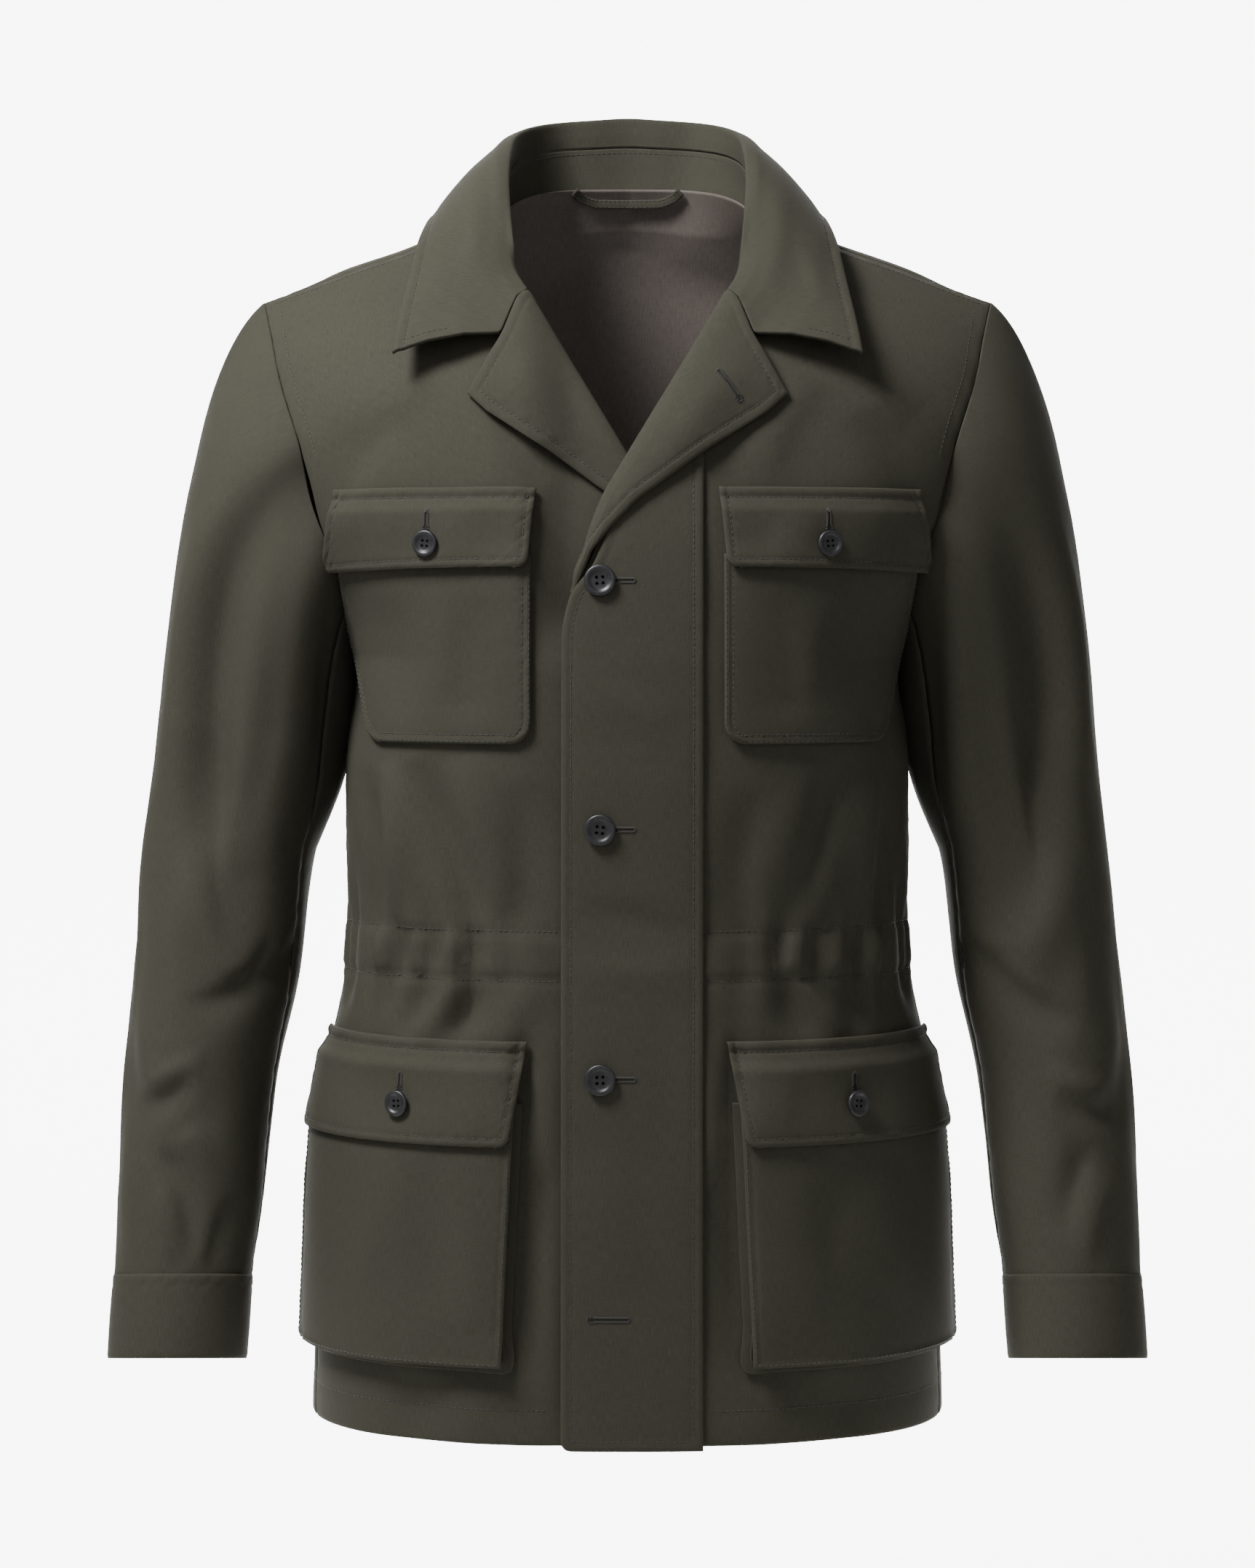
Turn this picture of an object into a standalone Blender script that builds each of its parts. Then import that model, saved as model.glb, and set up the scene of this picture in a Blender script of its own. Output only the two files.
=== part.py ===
"""A field jacket, worn form with no wearer: every sewn piece is a solid of its own.

Metres, +Z up, the front faces -Y and the wearer's left arm is at +X.
The origin lies midway between the two shoulder points, where the wearer's shoulders carry it.
"""

import math
from functools import lru_cache

import bmesh
import bpy
import numpy as np
from mathutils import Matrix, Vector
from mathutils.bvhtree import BVHTree

# ---------------------------------------------------------------- driving sizes

UNDERARM_Z = -0.223
CUFF_SEAM_Z = -0.609
CUFF_END_Z = -0.660
SEAM = 0.0003  # gap between neighbouring pieces
ARMHOLE_GAP = 0.0006
WALL = 0.0018  # shell cloth with its seam allowances
DOUBLE = 0.0022  # two layers, as in collar, lapels, flaps and placket
LIFT = 0.0006  # air under a piece that is sewn onto a panel
FRONT_POWER = 2.4
SIDES = {"left": 1.0, "right": -1.0}  # the wearer's


def table(columns, *rows):
    """A short table with named columns."""
    data = np.array(rows, float)
    return {name: data[:, i] for i, name in enumerate(columns.split())}


def curve(xs, ys, x):
    """A smooth curve through a table's points that doesn't overshoot them."""
    x = np.clip(x, xs[0], xs[-1])
    step, rise = np.diff(xs), np.diff(ys)
    slope = rise / step
    same = slope[:-1] * slope[1:] > 0
    total = np.where(same, slope[:-1] + slope[1:], 1.0)
    inner = np.where(same, 2 * slope[:-1] * slope[1:] / total, 0.0)
    tangent = np.concatenate([slope[:1], inner, slope[-1:]])
    i = np.clip(np.searchsorted(xs, x) - 1, 0, len(step) - 1)
    t = (x - xs[i]) / step[i]
    a = ys[i] * (1 + 2 * t) * (1 - t) ** 2 + ys[i + 1] * t * t * (3 - 2 * t)
    return a + step[i] * t * (1 - t) * (tangent[i] * (1 - t) - tangent[i + 1] * t)


def look_up(rows, key, at, column):
    return curve(rows[key], rows[column], at)


def spline(points, count):
    """Points spread evenly along a smooth curve through the given ones."""
    points = np.array(points, float)
    along = np.concatenate([[0], np.cumsum(np.linalg.norm(np.diff(points, axis=0), axis=1))])
    fine = np.linspace(0, along[-1], 200)
    line = np.stack([curve(along, points[:, k], fine) for k in range(3)], axis=1)
    return spread(line, np.linspace(0, 1, count))


def lengths(line):
    return np.concatenate([[0], np.cumsum(np.linalg.norm(np.diff(line, axis=0), axis=1))])


def spread(line, shares):
    """The points at the given shares of a line's length."""
    along = lengths(line)
    at = np.asarray(shares) * along[-1]
    return np.stack([np.interp(at, along, line[:, k]) for k in range(3)], axis=-1)


def fade(x, start, end):
    """0 before start, 1 after end, smooth between."""
    t = np.clip((x - start) / (end - start), 0, 1)
    return t * t * (3 - 2 * t)


# ---------------------------------------------------------------- the body's form

# Below the underarm each section is a closed ring, wider than deep.
TORSO = table(
    "z      width   front   back",
    (-0.698, 0.2000, 0.1380, 0.1180),
    (-0.560, 0.1950, 0.1370, 0.1160),
    (-0.470, 0.1880, 0.1360, 0.1120),
    (-0.417, 0.1785, 0.1340, 0.1080),
    (-0.387, 0.1765, 0.1330, 0.1070),
    (-0.340, 0.1775, 0.1340, 0.1100),
    (-0.2925, 0.1775, 0.1350, 0.1140),
    (-0.223, 0.1720, 0.1350, 0.1180),
)
# The side seam lies a little forward of the widest line, more so towards the hem.
SIDE_SEAM_FORWARD = table("z forward", (-0.698, 0.040), (-0.387, 0.022), (-0.223, 0.0))
# Above it a row runs from the centre to the armhole and climbs towards the neck.
FRONT_YOKE = table(
    "z      armhole width   centre_y side_y   rise",
    (-0.223, 0.1720, 0.1720, -0.1350, 0.0000, 0.0000),
    (-0.206, 0.1735, 0.1755, -0.1335, -0.0029, 0.0100),
    (-0.176, 0.1780, 0.1868, -0.1305, -0.0102, 0.0190),
    (-0.138, 0.1900, 0.2030, -0.1205, -0.0287, 0.0430),
    (-0.093, 0.2014, 0.2160, -0.0990, -0.0380, 0.0650),
    (-0.050, 0.2160, 0.2275, -0.0680, -0.0206, 0.0770),
    (-0.022, 0.2230, 0.2330, -0.0355, -0.0070, 0.0780),
    (0.000, 0.2290, 0.2400, -0.0035, 0.0089, 0.0820),
)
BACK_YOKE = table(
    "z      armhole width  centre_y side_y  rise   power",
    (-0.223, 0.1720, 0.1720, 0.1180, 0.0000, 0.0000, 2.4),
    (-0.206, 0.1735, 0.1755, 0.1190, 0.0096, 0.0020, 2.4),
    (-0.172, 0.1800, 0.1880, 0.1210, 0.0255, 0.0070, 2.3),
    (-0.110, 0.1970, 0.2130, 0.1185, 0.0440, 0.0250, 2.3),
    (-0.045, 0.2160, 0.2350, 0.1060, 0.0218, 0.0650, 2.0),
    (-0.012, 0.2260, 0.2400, 0.0965, 0.0174, 0.0640, 1.2),
)
BACK_RISE_POWER = 1.3
SHOULDER_POINT = np.array([0.229, 0.004, 0.0])
NECK_POINT = np.array([0.082, -0.003, 0.053])
RIDGE = 0.012  # how far the shoulder ridge rises over its seam
SHOULDER_NORMAL = np.array([0.30, -0.36, 0.88])
NECKLINE = [(0, 0.080, 0.079), (0.030, 0.076, 0.0785), (0.058, 0.056, 0.074), (0.076, 0.027, 0.064)]

ROWS_BELOW = [-0.698, -0.655, -0.600, -0.540, -0.480, -0.448, -0.425, -0.402, -0.379]
ROWS_BELOW += [-0.355, -0.32, -0.285, -0.253, -0.223]
ARMHOLE_ROWS = [-0.212, -0.194, -0.170, -0.142, -0.112, -0.080, -0.048, -0.020]
FRONT_COLUMNS = 17
BACK_COLUMNS = 14  # of half a back, centre to side
SLEEVE_COLUMNS = 2 * len(ARMHOLE_ROWS) + 2


def arc(width, centre_y, side_y, power, end_x):
    """A row's outline from the centre out to end_x."""
    end = math.asin(min(1, end_x / width) ** (power / 2))
    angle = np.linspace(0, end, 80)
    x = width * np.sin(angle) ** (2 / power)
    y = side_y + (centre_y - side_y) * np.cos(angle) ** (2 / power)
    return x, y


@lru_cache(maxsize=None)
def ring(z):
    """Half a ring below the underarm, from the centre front to the centre back, and its seam's share."""
    width, front, back = (look_up(TORSO, "z", z, name) for name in ("width", "front", "back"))
    x, y = arc(width, -front, 0, FRONT_POWER, width)
    x2, y2 = arc(width, back, 0, FRONT_POWER, width)
    line = np.stack([np.append(x, x2[-2::-1]), np.append(y, y2[-2::-1]), np.full(159, z)], axis=1)
    forward = look_up(SIDE_SEAM_FORWARD, "z", z, "forward")
    along = lengths(line)
    seam = np.interp(-forward, line[:, 1], along) / along[-1]
    return line, seam


@lru_cache(maxsize=None)
def front_row(z):
    """The front's surface along the row that ends at height z, from the centre outwards."""
    if z <= UNDERARM_Z:
        line, seam = ring(z)
        return spread(line, np.linspace(0, seam, 160))
    armhole, width, centre_y, side_y, rise = (
        look_up(FRONT_YOKE, "z", z, name) for name in ("armhole", "width", "centre_y", "side_y", "rise")
    )
    x, y = arc(width, centre_y, side_y, FRONT_POWER, armhole)
    return np.stack([x, y, z + rise * (1 - x / armhole)], axis=1)


def front_at(along, z):
    """The front's point at a distance along its row from the centre, at height z."""
    end = z
    for _ in range(6):
        line = front_row(round(float(min(end, 0)), 6))
        s = lengths(line)
        point = np.array([np.interp(abs(along), s, line[:, k]) for k in range(3)])
        end += z - point[2]
    over = abs(along) - s[-1]
    if over > 0:
        last = line[-1] - line[-2]
        point = point + over * last / np.linalg.norm(last)
    point[0] *= math.copysign(1, along) if along else 1
    return point


def torso_at(along, z):
    """A point below the underarm, at a distance round the body from the centre front."""
    line, _ = ring(round(float(z), 6))
    return spread(line, abs(along) / lengths(line)[-1]) * [math.copysign(1, along), 1, 1]


def normal_at(surface, along, z, step=0.002):
    across = surface(along + step, z) - surface(along - step, z)
    up = surface(along, z + step) - surface(along, z - step)
    normal = np.cross(across, up)
    return normal / np.linalg.norm(normal)


def lifted(surface, along, z, lift):
    """A point of a surface, moved out."""
    return surface(along, z) + normal_at(surface, along, z) * lift


def distance_at(x, z):
    """How far along the front's row the point with this x lies."""
    line = front_row(round(float(z), 6))
    for _ in range(4):
        s = lengths(line)
        along = np.interp(abs(x), line[:, 0], s)
        row_z = np.interp(along, s, line[:, 2])
        end = line[-1, 2] + z - row_z
        line = front_row(round(float(min(end, 0)), 6))
    return math.copysign(np.interp(abs(x), line[:, 0], lengths(line)), x)


# The edge of the wearer's left front: straight up the placket, then the lapel's roll line,
# then the neckline up to the shoulder seam.
FRONT_EDGE = table(
    "z       x",
    (-0.7500, -0.0385),
    (-0.2060, -0.0375),
    (-0.1740, -0.0315),
    (-0.1590, -0.0250),
    (-0.1256, -0.0120),
    (-0.1009, 0.0024),
    (-0.0473, 0.0346),
    (-0.0010, 0.0618),
    (0.0120, 0.0690),
    (0.0300, 0.0750),
    (0.0530, 0.0820),
)
UNDERLAP_Z = -0.235  # below it the wearer's right front lies close under the left one
UNDERLAP_CLOSE = 0.0030
UNDERLAP_ROLLED = 0.0110

# Soft gathers of the drawn waist: where along the row, how wide and how deep.
GATHERS = table(
    "along  width  depth",
    (0.072, 0.012, 0.0018),
    (0.097, 0.011, 0.0024),
    (0.124, 0.012, 0.0016),
    (0.149, 0.011, 0.0025),
    (0.176, 0.012, 0.0019),
    (0.204, 0.012, 0.0022),
    (0.262, 0.014, 0.0018),
    (0.293, 0.013, 0.0024),
    (0.325, 0.014, 0.0020),
    (0.357, 0.013, 0.0025),
    (0.389, 0.014, 0.0019),
)
WAIST_TOP_Z = -0.387
WAIST_BOTTOM_Z = -0.417


def gather(along, z):
    """How far the drawn cloth sinks in, at a distance round the body from the centre front."""
    near = fade(z, -0.452, WAIST_BOTTOM_Z) * (1 - fade(z, WAIST_TOP_Z, -0.335))
    wave = np.exp(-(((abs(along) - GATHERS["along"]) / GATHERS["width"]) ** 2))
    return -near * float(np.sum(wave * GATHERS["depth"]))


# ---------------------------------------------------------------- making meshes


def material(name, colour, roughness):
    made = bpy.data.materials.new(name)
    made.use_nodes = True
    shader = made.node_tree.nodes["Principled BSDF"]
    linear = [(c / 12.92) if c <= 0.04045 else ((c + 0.055) / 1.055) ** 2.4 for c in colour]
    shader.inputs["Base Color"].default_value = (*linear, 1)
    shader.inputs["Roughness"].default_value = roughness
    made.diffuse_color = (*linear, 1)
    return made


def faces_of(rows, columns, closed):
    """The quads of a grid, as corner indices."""
    last = columns if closed else columns - 1
    return [
        (r * columns + c, r * columns + (c + 1) % columns, (r + 1) * columns + (c + 1) % columns, (r + 1) * columns + c)
        for r in range(rows - 1)
        for c in range(last)
    ]


def grid_normals(grid, closed):
    """Smooth normals of a grid of points."""
    if closed:
        across = np.roll(grid, -1, axis=1) - np.roll(grid, 1, axis=1)
    else:
        across = np.gradient(grid, axis=1)
    up = np.gradient(grid, axis=0)
    normals = np.cross(across, up)
    return normals / np.maximum(np.linalg.norm(normals, axis=2, keepdims=True), 1e-12)


def smoothed(normals):
    """Normals shared a little with their neighbours along and across the rows."""
    for _ in range(2):
        mixed = normals.copy()
        mixed[1:-1] += (normals[:-2] + normals[2:]) / 2
        mixed[:, 1:-1] += (normals[:, :-2] + normals[:, 2:]) / 2
        normals = mixed / np.linalg.norm(mixed, axis=2, keepdims=True)
    return normals


def add_mesh(name, points, faces, finish):
    mesh = bpy.data.meshes.new(name)
    mesh.from_pydata([tuple(p) for p in np.reshape(points, (-1, 3))], [], faces)
    mesh.materials.append(finish)
    mesh.shade_smooth()
    made = bpy.data.objects.new(name, mesh)
    JACKET.objects.link(made)
    return made


def cloth(name, grid, thickness, finish, closed=False, facing_in=False, centre=(0.0, 0.0)):
    """A sheet of cloth from a grid of points on its visible side, thickened away from that side."""
    grid = np.array(grid)
    away = grid[..., :2] - np.array(centre)
    out = (grid_normals(grid, closed)[..., :2] * away).sum() > 0
    faces = faces_of(*grid.shape[:2], closed)
    if out == facing_in:
        faces = [face[::-1] for face in faces]
    made = add_mesh(name, grid, faces, finish)
    wall = made.modifiers.new("wall", "SOLIDIFY")
    wall.thickness = thickness
    wall.offset = -1
    return made


def panel(name, outer, normals, thickness, finish):
    """A panel between its outer points and the same points moved in along shared normals.

    Neighbours that share their seam's normals keep one even gap through the whole wall.
    """
    rows, columns = outer.shape[:2]
    count = rows * columns
    inner = outer - normals * thickness
    faces = faces_of(rows, columns, False)
    edge = [(0, c) for c in range(columns)] + [(r, columns - 1) for r in range(1, rows)]
    edge += [(rows - 1, c) for c in range(columns - 2, -1, -1)] + [(r, 0) for r in range(rows - 2, 0, -1)]
    edge = [r * columns + c for r, c in edge]
    rim = [(b, a, a + count, b + count) for a, b in zip(edge, edge[1:] + edge[:1])]
    back = [tuple(i + count for i in face[::-1]) for face in faces]
    faces = faces + back + rim
    if (np.cross(outer[0, 1] - outer[0, 0], outer[1, 0] - outer[0, 0]) * normals[0, 0]).sum() < 0:
        faces = [face[::-1] for face in faces]
    return add_mesh(name, np.concatenate([outer.reshape(-1, 3), inner.reshape(-1, 3)]), faces, finish)


def trimmed(grid, first=0.0, last=0.0, bottom=0.0, top=0.0):
    """A grid whose edges are drawn in along their own rows and columns."""
    grid = grid.copy()

    def pull(edge, inside, amount):
        way = inside - edge
        return edge + way / np.linalg.norm(way, axis=-1, keepdims=True) * amount

    if first:
        grid[:, 0] = pull(grid[:, 0], grid[:, 1], first)
    if last:
        grid[:, -1] = pull(grid[:, -1], grid[:, -2], last)
    if bottom:
        grid[0] = pull(grid[0], grid[1], bottom)
    if top:
        grid[-1] = pull(grid[-1], grid[-2], top)
    return grid


def underlapped(grid):
    """The points of the wearer's right front and lapel, sunk where they lie under the left one."""
    grid = grid.copy()
    x, z = grid[..., 0], grid[..., 2]
    depth = UNDERLAP_CLOSE + (UNDERLAP_ROLLED - UNDERLAP_CLOSE) * fade(z, UNDERLAP_Z, -0.19)
    grid[..., 1] += depth * (1 - fade(x, 0.030, 0.068))
    return grid


FRONT_TREES = {}  # the panels' own facets, in the left side's coordinates


def tree_of(grid):
    return BVHTree.FromPolygons(grid.reshape(-1, 3).tolist(), faces_of(*grid.shape[:2], False))


def laid(trees, surface, along, z, lift):
    """A point moved out from the facets of the panels under it."""
    point, normal = surface(along, z), normal_at(surface, along, z)
    start = Vector(point + normal * 0.030)
    hits = [tree.ray_cast(start, Vector(-normal), 0.045) for tree in trees]
    hits = [hit for hit in hits if hit[0] is not None]
    if hits:
        nearest = min(hits, key=lambda hit: hit[3])
        point = np.array(nearest[0])
    return point + normal * lift


def mirrored(grid, side):
    return grid * [SIDES[side], 1, 1]


# ---------------------------------------------------------------- body panels


def front_edge_x(z):
    return float(look_up(FRONT_EDGE, "z", z, "x"))


def panel_edge_x(z):
    """The front panel stops just inside the fold that the lapel makes round it."""
    return front_edge_x(z) + 0.0046 * fade(z, -0.190, -0.165) * (1 - fade(z, 0.016, 0.032))


def row_shares(row):
    """The shares of a row's length at which the front's columns lie, and the row with its start."""
    start = 0.0
    s = lengths(row)
    for _ in range(8):
        z = np.interp(abs(start), row[:, 0], row[:, 2])
        start = panel_edge_x(z)
    along = math.copysign(np.interp(abs(start), row[:, 0], s), start)
    return along, s[-1]


def front_grid(side):
    """Points of one front, row by row from the hem, each from the front edge to the side."""
    grid = []
    for z in ROWS_BELOW + ARMHOLE_ROWS + [0.0]:
        row = front_row(z)
        s = lengths(row)
        start, end = row_shares(row)
        near = max(start + 0.004, 0.050)
        stations = np.append(np.linspace(start, near, 5)[:4], np.linspace(near, end, FRONT_COLUMNS - 4))
        if near + 0.05 > end:
            stations = np.linspace(start, end, FRONT_COLUMNS)
        if z > -0.16:
            stations = np.linspace(start, end, FRONT_COLUMNS)
        points = np.stack([np.interp(np.abs(stations), s, row[:, k]) for k in range(3)], axis=1)
        points[:, 0] *= np.where(stations < 0, -1, 1)
        grid.append(points)
    return np.array(grid)


def sunk(grid, normals):
    """The grid with the gathers of the waist, below the underarm."""
    grid = grid.copy()
    for r, z in enumerate(ROWS_BELOW):
        line, _ = ring(z)
        half = lengths(line)
        angle = np.unwrap(np.arctan2(line[:, 0], -line[:, 1]))
        at = np.interp(np.arctan2(np.abs(grid[r, :, 0]), -grid[r, :, 1]), angle, half)
        for c, along in enumerate(at):
            grid[r, c] += normals[r, c] * gather(along, z)
    return grid


def back_top_row(shares):
    """The last row of the back: the neckline, then the shoulder seam."""
    neck = spline([*NECKLINE, NECK_POINT], 60)
    line = np.concatenate([neck, np.linspace(NECK_POINT, SHOULDER_POINT, 60)[1:]])
    return spread(line, shares)


def neck_share():
    neck = lengths(spline([*NECKLINE, NECK_POINT], 60))[-1]
    return neck / (neck + np.linalg.norm(SHOULDER_POINT - NECK_POINT))


def back_yoke_row(z):
    armhole, width, centre_y, side_y, rise, power = (
        look_up(BACK_YOKE, "z", z, name) for name in ("armhole", "width", "centre_y", "side_y", "rise", "power")
    )
    x, y = arc(width, centre_y, side_y, power, armhole)
    return np.stack([x, y, z + rise * (1 - (x / armhole) ** BACK_RISE_POWER)], axis=1)


def back_half_grid():
    """Points of half the back, each row from the centre back to the side."""
    shares = np.linspace(0, 1, BACK_COLUMNS + 1)
    corner = round(neck_share() * BACK_COLUMNS)
    top_shares = np.append(
        np.linspace(0, neck_share(), corner + 1), np.linspace(neck_share(), 1, BACK_COLUMNS - corner + 1)[1:]
    )
    grid = []
    for z in ROWS_BELOW:
        line, seam = ring(z)
        grid.append(spread(line[::-1], shares * (1 - seam)))
    for z in ARMHOLE_ROWS[:-1]:
        grid.append(spread(back_yoke_row(z), shares))
    low, high = spread(back_yoke_row(-0.020), shares), back_top_row(top_shares)
    grid.append(low)
    for f in (0.36, 0.70, 1.0):
        row = low + (high - low) * f
        row[:, 2] += RIDGE * 4 * f * (1 - f) * fade(shares, 0.1, 0.5) * (1 - fade(shares, 0.8, 1.0) * 0.7)
        grid.append(row)
    return np.array(grid)


def build_body(cloth_finish):
    below = len(ROWS_BELOW)
    front = front_grid("left")
    back = back_half_grid()
    whole_back = np.concatenate([back[:, :0:-1] * [-1, 1, 1], back], axis=1)
    front_out = smoothed(grid_normals(front, False))
    back_out = smoothed(-grid_normals(whole_back, False))
    seam_normals = front_out[:below, -1] + back_out[:below, -1]
    seam_normals /= np.linalg.norm(seam_normals, axis=1, keepdims=True)
    front_out[:below, -1] = seam_normals
    back_out[:below, -1] = seam_normals
    back_out[:below, 0] = seam_normals * [-1, 1, 1]
    shoulder = SHOULDER_NORMAL / np.linalg.norm(SHOULDER_NORMAL)
    front_out[-1] = shoulder
    corner = round(neck_share() * BACK_COLUMNS)
    back_out[-1, BACK_COLUMNS + corner :] = shoulder
    back_out[-1, : BACK_COLUMNS - corner + 1] = shoulder * [-1, 1, 1]
    for c in range(corner):
        share = c / corner
        edge = np.array([0.30 * share, 0.62 * (1 - share) - 0.2 * share, 0.80])
        edge /= np.linalg.norm(edge)
        back_out[-1, BACK_COLUMNS + c] = edge
        back_out[-1, BACK_COLUMNS - c] = edge * [-1, 1, 1]
    for side in SIDES:
        grid = sunk(front, front_out)
        if side == "right":
            grid = underlapped(grid)
        FRONT_TREES[side] = tree_of(grid)
        grid = trimmed(grid, last=SEAM / 2, top=SEAM / 2)
        panel(f"front_{side}", mirrored(grid, side), front_out * [SIDES[side], 1, 1], WALL, cloth_finish)
    whole_back = sunk(whole_back, back_out)
    FRONT_TREES["back"] = tree_of(whole_back)
    whole_back = trimmed(whole_back, first=SEAM / 2, last=SEAM / 2, top=SEAM / 2)
    panel("back", whole_back, back_out, WALL, cloth_finish)


# ---------------------------------------------------------------- sleeves and cuffs

# Sections of the sleeve below the cap; the forearm leans forward, and so does its section.
SLEEVE = table(
    "z       x       y        half_x  half_y  lean",
    (-0.660, 0.2808, -0.0545, 0.0425, 0.0460, 0.190),
    (-0.609, 0.2779, -0.0440, 0.0428, 0.0480, 0.180),
    (-0.560, 0.2742, -0.0340, 0.0458, 0.0510, 0.160),
    (-0.490, 0.2700, -0.0200, 0.0485, 0.0545, 0.120),
    (-0.418, 0.2592, -0.0070, 0.0524, 0.0590, 0.060),
    (-0.357, 0.2528, 0.0010, 0.0529, 0.0630, 0.020),
    (-0.300, 0.2420, 0.0050, 0.0572, 0.0670, 0.000),
    (-0.268, 0.2375, 0.0050, 0.0592, 0.0690, 0.000),
)
SLEEVE_RINGS = [-0.268, -0.300, -0.335, -0.370, -0.405, -0.440, -0.480, -0.522, -0.565, -0.609]
SLEEVE_TURN = math.radians(33)  # how far its seams turn inwards on the way to the cuff
CAP_STEPS = (0.12, 0.30, 0.52, 0.76)
CAP_REACH = 0.045
CAP_SETTLE = 0.130
FRONT_SEAM_COLUMN = 2
BACK_SEAM_COLUMN = SLEEVE_COLUMNS - 4
CUFF_PROUD = 0.0008
# Soft hollows in the sleeve: where round it from the inner side by the front, how high, how
# wide and tall, how slanted, how deep.
SLEEVE_FOLDS = table(
    "angle  z       width  height  slant  depth",
    (70, -0.300, 16, 0.070, 0.2, 0.0040),
    (118, -0.330, 18, 0.110, -0.2, 0.0030),
    (100, -0.420, 22, 0.028, 1.0, 0.0030),
    (140, -0.500, 26, 0.024, 1.2, 0.0034),
    (95, -0.535, 24, 0.020, -1.0, 0.0028),
    (215, -0.290, 18, 0.090, 0.1, 0.0032),
    (250, -0.390, 24, 0.030, -0.8, 0.0034),
    (235, -0.520, 26, 0.024, 0.9, 0.0028),
)


def armhole_points():
    """The armhole, from the underarm up its front edge to the shoulder and down its back edge."""
    front = [front_row(z)[-1] for z in [UNDERARM_Z] + ARMHOLE_ROWS]
    back = [back_yoke_row(z)[-1] for z in reversed(ARMHOLE_ROWS)]
    return np.array(front + [SHOULDER_POINT] + back)


def sleeve_angles():
    """The angle of each sleeve column, from the inner side by way of the front."""
    points = armhole_points()
    along = lengths(np.concatenate([points, points[:1]]))
    top = len(ARMHOLE_ROWS) + 1
    down_back = (along[top:-1] - along[top]) / (along[-1] - along[top])
    shares = np.concatenate([along[:top] / along[top] / 2, 0.5 + down_back / 2])
    return shares * 2 * math.pi


def sleeve_ring(z, angles):
    x, y, half_x, half_y, lean = (look_up(SLEEVE, "z", z, name) for name in ("x", "y", "half_x", "half_y", "lean"))
    down = np.clip((SLEEVE_RINGS[0] - z) / (SLEEVE_RINGS[0] - CUFF_SEAM_Z), 0, 1)
    turned = angles - SLEEVE_TURN * down
    ring_y = -half_y * np.sin(turned)
    sink = np.zeros(len(angles))
    for a, fold_z, width, height, slant, depth in zip(*SLEEVE_FOLDS.values()):
        off = (np.degrees(turned) - a + 180) % 360 - 180
        tall = (z - fold_z) - slant * np.radians(off) * half_x
        sink += depth * np.exp(-((off / width) ** 2) - (tall / height) ** 2)
    shrink = 1 - sink / half_x
    return np.stack([x - half_x * np.cos(turned) * shrink, y + ring_y * shrink, z - lean * ring_y], axis=1)


def sleeve_grid():
    """Rows of a left sleeve from the cuff seam up to the armhole; columns go round it."""
    angles = sleeve_angles()
    rings = [sleeve_ring(z, angles) for z in SLEEVE_RINGS]
    start = armhole_points()
    under = ((1 + np.cos(angles)) / 2) ** 2
    out = np.stack([0.80 - 0.50 * under, -0.25 * np.sin(angles), -0.62 - 0.33 * under], axis=1)
    out /= np.linalg.norm(out, axis=1, keepdims=True)
    reach = (CAP_REACH * (1 - under) + 0.012 * under)[:, None]
    settle = (CAP_SETTLE * (1 - np.cos(angles)) / 2 + 0.020)[:, None]
    end = rings[0]
    heading = (rings[0] - rings[1]) / np.linalg.norm(rings[0] - rings[1], axis=1, keepdims=True)
    first, second = start + out * reach, end + heading * settle
    cap = []
    for t in CAP_STEPS:
        cap.append((1 - t) ** 3 * start + 3 * (1 - t) ** 2 * t * first + 3 * (1 - t) * t * t * second + t**3 * end)
    rows = [start + out * (ARMHOLE_GAP + 0.0010 * (1 - under))[:, None]] + cap + rings
    return np.array(rows[::-1])


def build_sleeves(finish):
    grid = sleeve_grid()
    normals = grid_normals(grid, True)
    middle = grid.mean(axis=1, keepdims=True)
    if (normals * (grid - middle)).sum() < 0:
        normals = -normals
    top = list(range(FRONT_SEAM_COLUMN, BACK_SEAM_COLUMN + 1))
    under = list(range(BACK_SEAM_COLUMN, SLEEVE_COLUMNS)) + list(range(FRONT_SEAM_COLUMN + 1))
    for side in SIDES:
        flip = [SIDES[side], 1, 1]
        for name, columns in (("sleeve_top", top), ("sleeve_under", under)):
            part = trimmed(grid[:, columns], first=SEAM / 2, last=SEAM / 2, bottom=SEAM / 2)
            panel(f"{name}_{side}", part * flip, normals[:, columns] * flip, WALL, finish)
        angles = sleeve_angles()
        rows = []
        for z in (CUFF_END_Z, CUFF_END_Z + 0.006, CUFF_SEAM_Z - SEAM):
            row = sleeve_ring(z, angles)
            centre = row.mean(axis=0)
            way = row - centre
            rows.append(row + way / np.linalg.norm(way, axis=1, keepdims=True) * CUFF_PROUD)
        centre = np.mean(rows, axis=(0, 1)) * flip
        cloth(f"cuff_{side}", np.array(rows) * flip, DOUBLE, finish, closed=True, centre=centre[:2])


# ---------------------------------------------------------------- collar

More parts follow.
